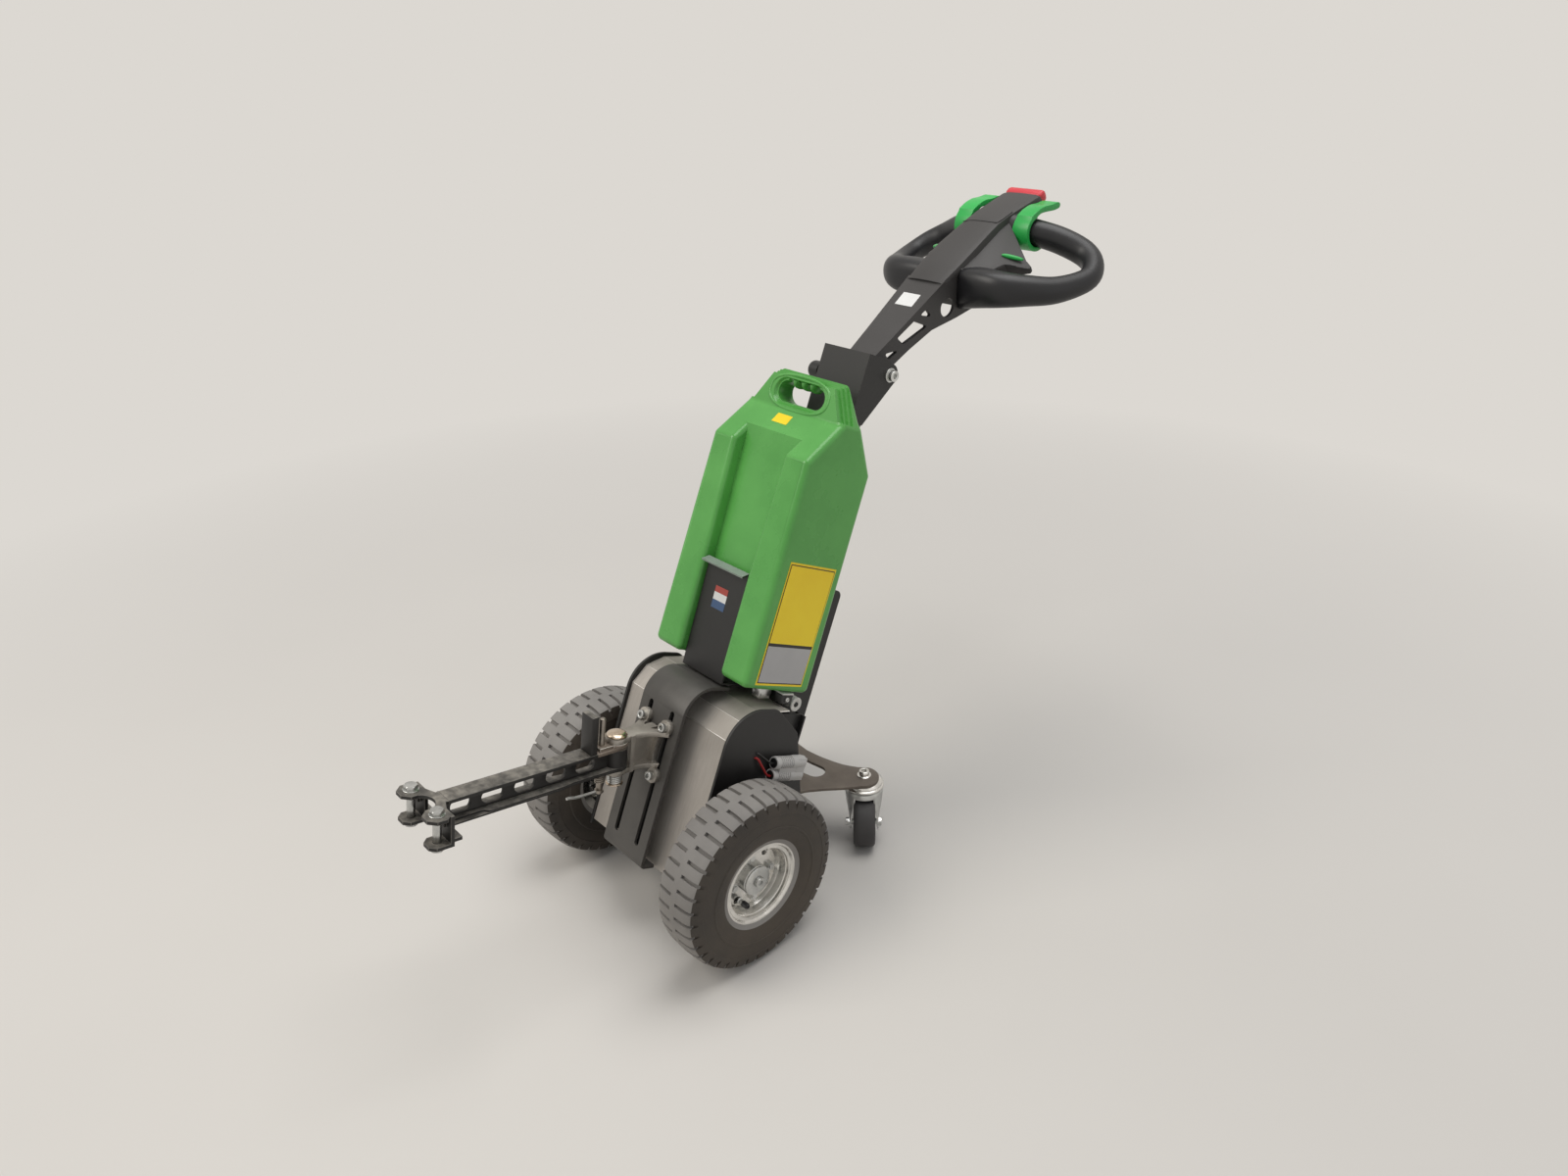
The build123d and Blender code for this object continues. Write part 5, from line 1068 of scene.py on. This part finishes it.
rear_edge = through([(0.0, 277.0), (22.0, 279.3), (45.0, 283.6), (70.0, 291.2), (90.0, 302.0)], 4)
rim = (rear_edge + arc((113.0, 290.5), 25.0, 112, -52, 14)
       + [(112.5, 247.9), (91.3, 222.4), (76.0, 201.0), (66.0, 176.0), (66.0, 96.0)])
opening = ([(0.0, 256.0), (28.0, 259.0), (48.0, 262.0)] + arc((51.0, 247.5), 15.0, 80, -78)
           + [(32.0, 229.0), (0.0, 226.0)])
mesh = bmesh.new()
cut_plate(mesh, [mirrored(rim), mirrored(opening)], 5.0,
          lambda x, y, out: (x, y, 108.0 + out), 0.6)
plate = piece("castor_plate_cut", mesh, castor_scale, "chassis",
              frame_of((0, axle.y, 0), (1, 0, 0), (0, 1, 0), (0, 0, 1)), 30)
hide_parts("castor_plate")
print("castor plate points:", 2 * len(rim))

# %% [markdown]
# ## Castors
#
# Each castor is pressed sheet: a ring race that is rolled bright, and under it a fork whose round
# crown flows into two flat legs. The fork is a cup with two legs skinned from a bow at the crown to
# a flat eye at the axle. The wheel is a dark band moulded on a grey core.

# %% Castor races, forks and wheels
CASTOR_WAY = math.radians(45)
RACE = ((94.6, 19, 0), (94.6, 27.8, 0), (95.4, 29.8, 0), (97.0, 31.0, 0), (98.8, 31.2, 0),
        (100.2, 30.2, 0), (100.8, 28.6, 0), (101.4, 28.4, 0), (102.2, 29.0, 0), (104.2, 28.6, 0),
        (105.4, 27.0, 0), (107.8, 25.0, 0), (107.9, 8.0, 0))
CROWN = ((91.6, 2, 0), (91.6, 27.4, 0), (85.0, 27.8, 0), (84.2, 28.6, 0), (84.2, 29.6, 0),
         (85.0, 30.2, 0), (91.6, 30.0, 0), (93.4, 29.2, 0), (94.2, 27.4, 0), (94.2, 2, 0))
LEGS = (
    # height, share of the way from bow to flat eye, share of the eye's width
    (90.0, 0.0, 1.0), (80.0, 0.08, 1.0), (70.0, 0.28, 1.0), (60.0, 0.6, 1.0), (50.0, 0.9, 1.0),
    (42.0, 1.0, 1.0), (36.0, 1.0, 0.94), (32.0, 1.0, 0.72), (29.6, 1.0, 0.36),
)
SPAN = [step / 5 for step in range(-5, 6)]


def castor_leg(mesh, sign):
    """One pressed leg as a skin over bowed bands from the crown down to the axle's eye."""
    rings = []
    for high, flat, width in LEGS:
        middle_y, half = -22.0 * flat, (25.0 * (1 - flat) + 11.0 * flat) * width
        band = []
        for t in SPAN:
            bow = 30.0 * math.sqrt(1 - (0.84 * t) ** 2)
            band.append((bow * (1 - flat) + 22.5 * flat, middle_y + half * t))
        rings.append([(sign * x, y, high) for x, y in band]
                     + [(sign * (x - 2.4), y * 0.96 if flat == 0 else y, high)
                        for x, y in reversed(band)])
    return skin(mesh, rings)


CASTOR_WHEEL = ((-17.0, 6.0), (-17.0, 12.0), (-14.5, 14.0), (-14.5, 29.5), (-16.4, 31.0),
                (-16.9, 32.5), (-16.9, 34.6), (-16.0, 37.0), (-13.8, 38.8), (-8.0, 39.8), (0.0, 40.0))
for side, sign in (("left", 1), ("right", -1)):
    at = Vector((sign * 0.112, axle.y + 0.294, 0))
    upward = aimed(at, (0, 0, 1))
    race = piece("castor_race_" + side, repeated([upward], (
        RACE, washer(11.0, 113.0), cap_screw(8.0, 7.6, 4.6, 114.5)), 40), rim_zinc, "chassis",
        Matrix(), 50)
    if side == "left":
        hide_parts("castor_studs")
    along = (math.cos(CASTOR_WAY), math.sin(CASTOR_WAY), 0)
    beside = (-math.sin(CASTOR_WAY), math.cos(CASTOR_WAY), 0)
    turned_frame = frame_of(at, along, beside, (0, 0, 1))
    mesh = bmesh.new()
    for leg in (1, -1):
        castor_leg(mesh, leg)
    rows = [[(x, y, high) for x, y in circle(radius, 40)] for high, radius, sides in CROWN]
    skin(mesh, rows)
    piece("castor_fork_pressed_" + side, mesh, bright_zinc, "castor_swivel_" + side, turned_frame,
          35, node="castor_fork_" + side)
    axle_at = turned_frame @ Vector((0, -22, 40))
    axles = [aimed(axle_at, along, (0, 0, 1))]
    piece("castor_axle_" + side, repeated(axles, (
        ((-24.5, 4.9, 0), (24.5, 4.9, 0)), hex_head(7.5, 4.8, 22.6),
        ((-29.0, 6.6, 0), (-28.2, 7.5, 6), (-22.6, 7.5, 6)))), bright_zinc, "castor_swivel_" + side,
        Matrix())
    mesh = bmesh.new()
    profile = CASTOR_WHEEL + tuple((-x, r) for x, r in reversed(CASTOR_WHEEL[:-1]))
    turned(mesh, profile, 48)
    for face in mesh.faces:
        face.material_index = 0 if face.calc_center_median().yz.length > 31.5 else 1
    piece("castor_tread_" + side, mesh, (castor_rubber, core_grey), "castor_roller_" + side,
          axles[0], 40, node="castor_wheel_" + side)
print("castor leg rings:", len(LEGS))

# %% [markdown]
# ## Battery handle and pack details
#
# The handle's upper edge has four finger hollows with soft ridges between them, and a raised bead
# runs round the opening. Both are moulded in one with the case, so they carry its green.

# %% Finger ridges and handle bead
mesh = bmesh.new()
for x in (-17, 0, 17):
    rings = []
    for n, share in ((12, 0.55), (16, 0.9), (24, 1.0), (31, 0.95), (35.5, 0.7), (37.6, 0.35)):
        ring = []
        for step in range(9):
            t = step / 4 - 1
            ring.append((x + 5.6 * t * share, 777.5 - (9.5 * share) * (1 - t * t) ** 1.5, n))
        rings.append(ring)
    skin(mesh, rings)
piece("handle_ridges", mesh, case_green, "chassis", LEAN, 60)
mesh = bmesh.new()
bead = []
for step in range(48):
    turn = math.tau * step / 48
    square = (abs(math.cos(turn)) ** 2.6 + abs(math.sin(turn)) ** 2.6) ** (-1 / 2.6)
    x, u = 58.0 * math.cos(turn) * square, 761 + 24.5 * math.sin(turn) * square
    bead.append((x, u, 40.0 - 3.0 * (u - 736.0) / 55.0))
rings = []
for i, at in enumerate(bead):
    ahead = (Vector(bead[(i + 1) % 48]) - Vector(bead[i - 1])).normalized()
    aside = ahead.cross(Vector((0, 0, 1))).normalized()
    rings.append([Vector(at) + aside * (1.9 * c) + Vector((0, 0, 1.3 * s)) for c, s in circle(1.0, 8)])
skin(mesh, rings, loop=True)
piece("handle_bead", mesh, case_green, "chassis", LEAN, 60)
print("handle ridges: 3, bead points:", len(bead))

# %% [markdown]
# ## Holder plate
#
# The plate in the pack's channel is bent sheet: it rises from a tray under the pack, and its top is
# folded forwards and down into a lip. The lip's black coat is coloured pale green-grey: painted light
# on its upturned face and a painted reflection of the green pack.

# %% Holder plate and lip
HOLDER_FOLDS = ((343.2, -28), (343.2, 74.8), (505.5, 74.8), (508.0, 79.0), (501.0, 91.0))
mesh = bmesh.new()
sheet(mesh, HOLDER_FOLDS, 2.6, 44.0, 2.6)
for face in mesh.faces:
    middle_u, middle_n = face.calc_center_median().yz
    # The lip's faces take the pale green-grey finish: painted light and a painted reflection of the pack.
    face.material_index = 1 if middle_n > 75.0 and middle_u > 497 and len(face.verts) == 4 else 0
piece("holder_plate", mesh, (frame_black, lip_painted_reflection), "chassis", LEAN, 25,
      node="battery_holder")
print("holder folds:", len(HOLDER_FOLDS) - 2)

# %% [markdown]
# ## Connector, switch block and rollers
#
# The power plug is a two-pole battery connector in grey polycarbonate: two barrels side by side with
# finger ribs, and a socket in each front end. Beside it, under the pack's foot, sit a bright terminal
# block, a black switch with one screw, and the white nylon roller that guides the pack.

# %% Connector
BARREL = [(2.0, 8.8, 0), (1.2, 9.5, 0)]
for rib in range(7):
    BARREL += [(-6.2 - 3.8 * rib, 9.5, 0), (-6.6 - 3.8 * rib, 8.3, 0), (-8.2 - 3.8 * rib, 8.3, 0),
               (-8.6 - 3.8 * rib, 9.5, 0)]
BARREL += [(-38.0, 9.5, 0), (-58.0, 9.0, 0)]
plug_places = [aimed(LEAN @ Vector((124.0, u, 8)), OUT) for u in (240.5, 259.5)]
mesh = repeated(plug_places, (tuple(BARREL),), 28)
block = bmesh.new()
box_mesh(block, (117.0, 240.0, -50.0), (131.0, 260.0, 1.0), 0.8)
box_mesh(block, (115.5, 233.0, -52.0), (131.5, 267.0, -32.0), 1.4)
box_mesh(block, (114.0, 243.0, -31.0), (118.0, 257.0, -12.0), 0.6)
piece("connector_body", block, connector_grey, "chassis", LEAN, 35,
      node="power_connector")
piece("connector_barrels", mesh, connector_grey, "chassis", Matrix(), 35)
piece("connector_sockets", repeated(plug_places, (
    ((2.05, 7.2, 0), (2.3, 7.0, 0), (2.3, 5.6, 0), (-6.0, 5.0, 0)),), 28), knob_black, "chassis",
    Matrix(), 35)
LEADS = (("lead_red", "cable_red", lead_red_skin, 240.5, 263.5),
         ("lead_black", "cable_black", lead_black_skin, 259.5, 270.5))
for node, slot, finish, socket_u, hole_u in LEADS:
    mesh = bmesh.new()
    wire(mesh, through([(113.0, hole_u, 40.0), (117.5, hole_u, 37.0), (121.5, (hole_u + socket_u) / 2, 27.0),
                        (124.0, socket_u, 15.0), (124.0, socket_u, 4.0)], 5), 1.7, 10, (1, 0, 0))
    piece(node + "_run", mesh, finish, "chassis", LEAN, 60, node=node)
print("connector ribs:", 14)

# %% Switch block and rollers
mesh = bmesh.new()
box_mesh(mesh, (60.5, 337.5, 6.0), (79.5, 355.0, 28.5), 2.6)
piece("terminal_bright", mesh, bright_zinc, "chassis", LEAN, 50, node="terminal_block")
mesh = bmesh.new()
box_mesh(mesh, (72.5, 337.5, -21.5), (96.5, 351.0, 1.5), 0.9)
piece("switch_case", mesh, knob_black, "chassis", LEAN, 50)
mesh = bmesh.new()
box_mesh(mesh, (73.5, 351.0, -21.0), (97.2, 353.6, 1.0), 0.6)
piece("switch_cap", mesh, nylon_white, "chassis", LEAN, 50)
switch_screw = [aimed(LEAN @ Vector((96.4, 344.0, -10.0)), (1, 0, 0), (0, 1, 0))]
piece("switch_screw", repeated(switch_screw, (cap_screw(3.6, 2.6, 1.7),)), bright_zinc, "chassis",
      Matrix())
ROLLER = ((0.5, 4.3, 0), (0.0, 5.0, 0), (0.0, 10.2, 0), (0.8, 11.0, 0), (19.7, 11.0, 0),
          (20.5, 10.2, 0), (20.5, 5.6, 0), (19.6, 4.4, 0))
rollers = [aimed(LEAN @ Vector((sign * 52, 326, -62)), (sign, 0, 0), (0, 1, 0)) for sign in (1, -1)]
piece("roller_pair", repeated(rollers, (ROLLER,), 36), nylon_white, "chassis", Matrix(),
      40, node="guide_rollers")
piece("roller_screws", repeated(rollers, (((-1.0, 3.9, 0), (19.0, 3.9, 0)),
                                          cap_screw(3.9, 1.6, 2.0, 19.6))), knob_black, "chassis",
      Matrix(), 40)
print("under the pack: terminal, switch, rollers")

# %% [markdown]
# ## Rear frame
#
# Two bent gussets tie the chassis box to the castor plate. Each is 4 mm plate with a rolled rear
# edge, and a small bracket welded to its inner face carries the roller's screw.

# %% Rear frame gussets
GUSSET = ((314.0, -28.0), (312.0, -78.0), (158.0, -78.0), (139.0, -28.0))
mesh = bmesh.new()
for sign in (1, -1):
    outline = [Vector(point) for point in GUSSET]
    skin(mesh, [[(sign * x, u, n) for u, n in outline] for x in (72.0, 76.0)])
    skin(mesh, [[(sign * x, u, n) for u, n in ((312, -74.4), (312, -78), (158, -78), (159.5, -74.4))]
                for x in (64.0, 84.0)])
    bracket = ((300.0, -46.0), (334.0, -50.0), (338.0, -62.0), (334.0, -74.0), (300.0, -78.0))
    skin(mesh, [[(sign * x, u, n) for u, n in bracket] for x in (47.5, 51.0)])
    skin(mesh, [[(sign * x, u, n) for u, n in ((300, -46), (300, -78), (304, -78), (304, -46))]
                for x in (47.5, 73.0)])
skin(mesh, [[(x, u, n) for u, n in ((300, -32), (312, -32), (312, -28), (300, -28))]
            for x in (-73, 73)])
soften(mesh, 0.6, 2, 30)
piece("rear_gussets", mesh, frame_black, "chassis", LEAN, 35, node="rear_frame")
print("gussets:", 2)

# %% [markdown]
# ## Blank labels
#
# The pack's side carries a tall yellow instruction plate and a grey type plate below it; small
# stickers sit on the shoulder, on the holder plate and on the tiller's arm. Their printing is left
# out, and what stays is the coloured sheet with its printed frame line.

# %% Label sheets
LABELS = (
    # name, frame, corners, towards, node, finish, body
    ("label_yellow", LEAN, ((120, 545, 66), (120, 542, -29), (120, 366, -25.5), (120, 368, 69)),
     (-1, 0, 0), "battery", label_yellow, "chassis"),
    ("label_line", LEAN, ((120, 542, 64), (120, 539, -27), (120, 369, -23.5), (120, 371, 66.5)),
     (-1, 0, 0), "label_yellow", label_line, "chassis"),
    ("label_face", LEAN, ((120, 540.6, 62.8), (120, 537.6, -25.8), (120, 427, -24), (120, 429.5, 64.4)),
     (-1, 0, 0), "label_line", label_yellow, "chassis"),
    ("label_grey", LEAN, ((120, 425, 64.6), (120, 422.6, -24), (120, 370.6, -22.6), (120, 372.4, 65.2)),
     (-1, 0, 0), "label_line", label_grey, "chassis"),
    ("label_shoulder", LEAN, ((-20, 716, 110), (10, 716, 110), (8, 729, 110), (-21, 729, 110)),
     (0, 0, -1), "battery", label_yellow, "chassis"),
    ("label_holder_red", LEAN, ((-17, 464, 110), (10, 464, 110), (10, 473, 110), (-17, 473, 110)),
     (0, 0, -1), "holder_plate", label_red, "chassis"),
    ("label_holder_white", LEAN, ((-17, 453, 110), (10, 453, 110), (10, 464, 110), (-17, 464, 110)),
     (0, 0, -1), "holder_plate", label_white, "chassis"),
    ("label_holder_blue", LEAN, ((-17, 441, 110), (10, 441, 110), (10, 453, 110), (-17, 453, 110)),
     (0, 0, -1), "holder_plate", label_blue, "chassis"),
    ("label_tiller", TILLER, ((-17, 105, 60), (16, 105, 60), (15, 130, 60), (-18, 130, 60)),
     (0, 0, -1), "tiller_arm", label_white, "tiller"),
)
for name, mesh_frame, corners, towards, node, finish, body in LABELS:
    decal(name, mesh_frame, corners, towards, node, finish, body)
print("labels:", len(LABELS))

# %% [markdown]
# ## Floor and light
#
# The floor is a plain pale sheet that keeps the machine's shadow. Lamps near the machine would leave
# its far end dark and draw a horizon, so beyond a few metres the floor shows the camera one even
# pale tone, and the world shows the same one. Both do this for camera, glossy and transmitted rays
# only: the light on the machine comes from the lamps and from a plain world. A large soft lamp in
# front and above lights what the photograph shows bright, a weaker one from the side fills the shade.

# %% Floor, world and lamps
BACKDROP = "#DCD8D2"
floor_mesh = bmesh.new()
bmesh.ops.create_grid(floor_mesh, x_segments=1, y_segments=1, size=40.0)
floor_data = bpy.data.meshes.new("floor")
floor_mesh.to_mesh(floor_data)
floor_mesh.free()
floor = bpy.data.objects.new("floor", floor_data)
scene.collection.objects.link(floor)


def shown(tree):
    """One where a ray shows its surface to the eye: straight, mirrored or through glass."""
    ray = add(tree, "LightPath")
    either = add(tree, "Math", {0: ray.outputs["Is Camera Ray"], 1: ray.outputs["Is Glossy Ray"]},
                 operation="MAXIMUM")
    return add(tree, "Math", {0: either.outputs[0], 1: ray.outputs["Is Transmission Ray"]},
               operation="MAXIMUM").outputs[0]


floor_finish, floor_tree, floor_surface = start("studio_floor", Roughness=0.6)
floor_tone = between(floor_tree, noise(floor_tree, 900.0, detail=5.0), "#D2CDC6", "#D8D3CC")
floor_tree.links.new(floor_tone, floor_surface.inputs["Base Color"])
place = add(floor_tree, "NewGeometry")
distance = add(floor_tree, "VectorMath", {0: place.outputs["Position"]}, operation="LENGTH")
far = spread(floor_tree, distance.outputs["Value"], 0.0, 1.0, (0.7, 2.4))
amount = add(floor_tree, "Math", {0: far, 1: shown(floor_tree)}, operation="MULTIPLY")
plain = add(floor_tree, "Emission", {"Color": linear(BACKDROP)})
blend = add(floor_tree, "MixShader", {0: amount.outputs[0], 1: floor_surface.outputs["BSDF"],
                                      2: plain.outputs["Emission"]})
floor_tree.links.new(blend.outputs["Shader"], floor_tree.nodes["Material Output"].inputs["Surface"])
dress(floor, floor_finish)

world = bpy.data.worlds.new("studio")
scene.world = world
world.use_nodes = True
sky = world.node_tree.nodes["Background"]
glow = add(world.node_tree, "Mix", {"Factor": shown(world.node_tree), "A": linear("#9A9DA1"),
                                    "B": linear(BACKDROP)}, data_type="RGBA")
world.node_tree.links.new(glow.outputs["Result"], sky.inputs["Color"])


def lamp(name, place, aim, size, power, tint="#FFFFFF"):
    """A square area lamp at a place, turned towards a point."""
    data = bpy.data.lights.new(name, "AREA")
    data.size = size
    data.energy = power
    data.color = linear(tint)[:3]
    thing = bpy.data.objects.new(name, data)
    thing.location = place
    thing.rotation_euler = (Vector(place) - Vector(aim)).to_track_quat("Z", "Y").to_euler()
    scene.collection.objects.link(thing)
    return thing


middle = (0, 0, 0.45)
lamp("key", (-1.2, -2.6, 3.2), middle, 2.2, 66, "#FFFBF4")
lamp("overhead", (0.3, 0.6, 3.6), middle, 2.4, 64)
lamp("fill", (3.0, 0.4, 1.6), middle, 2.5, 5, "#F2F6FF")
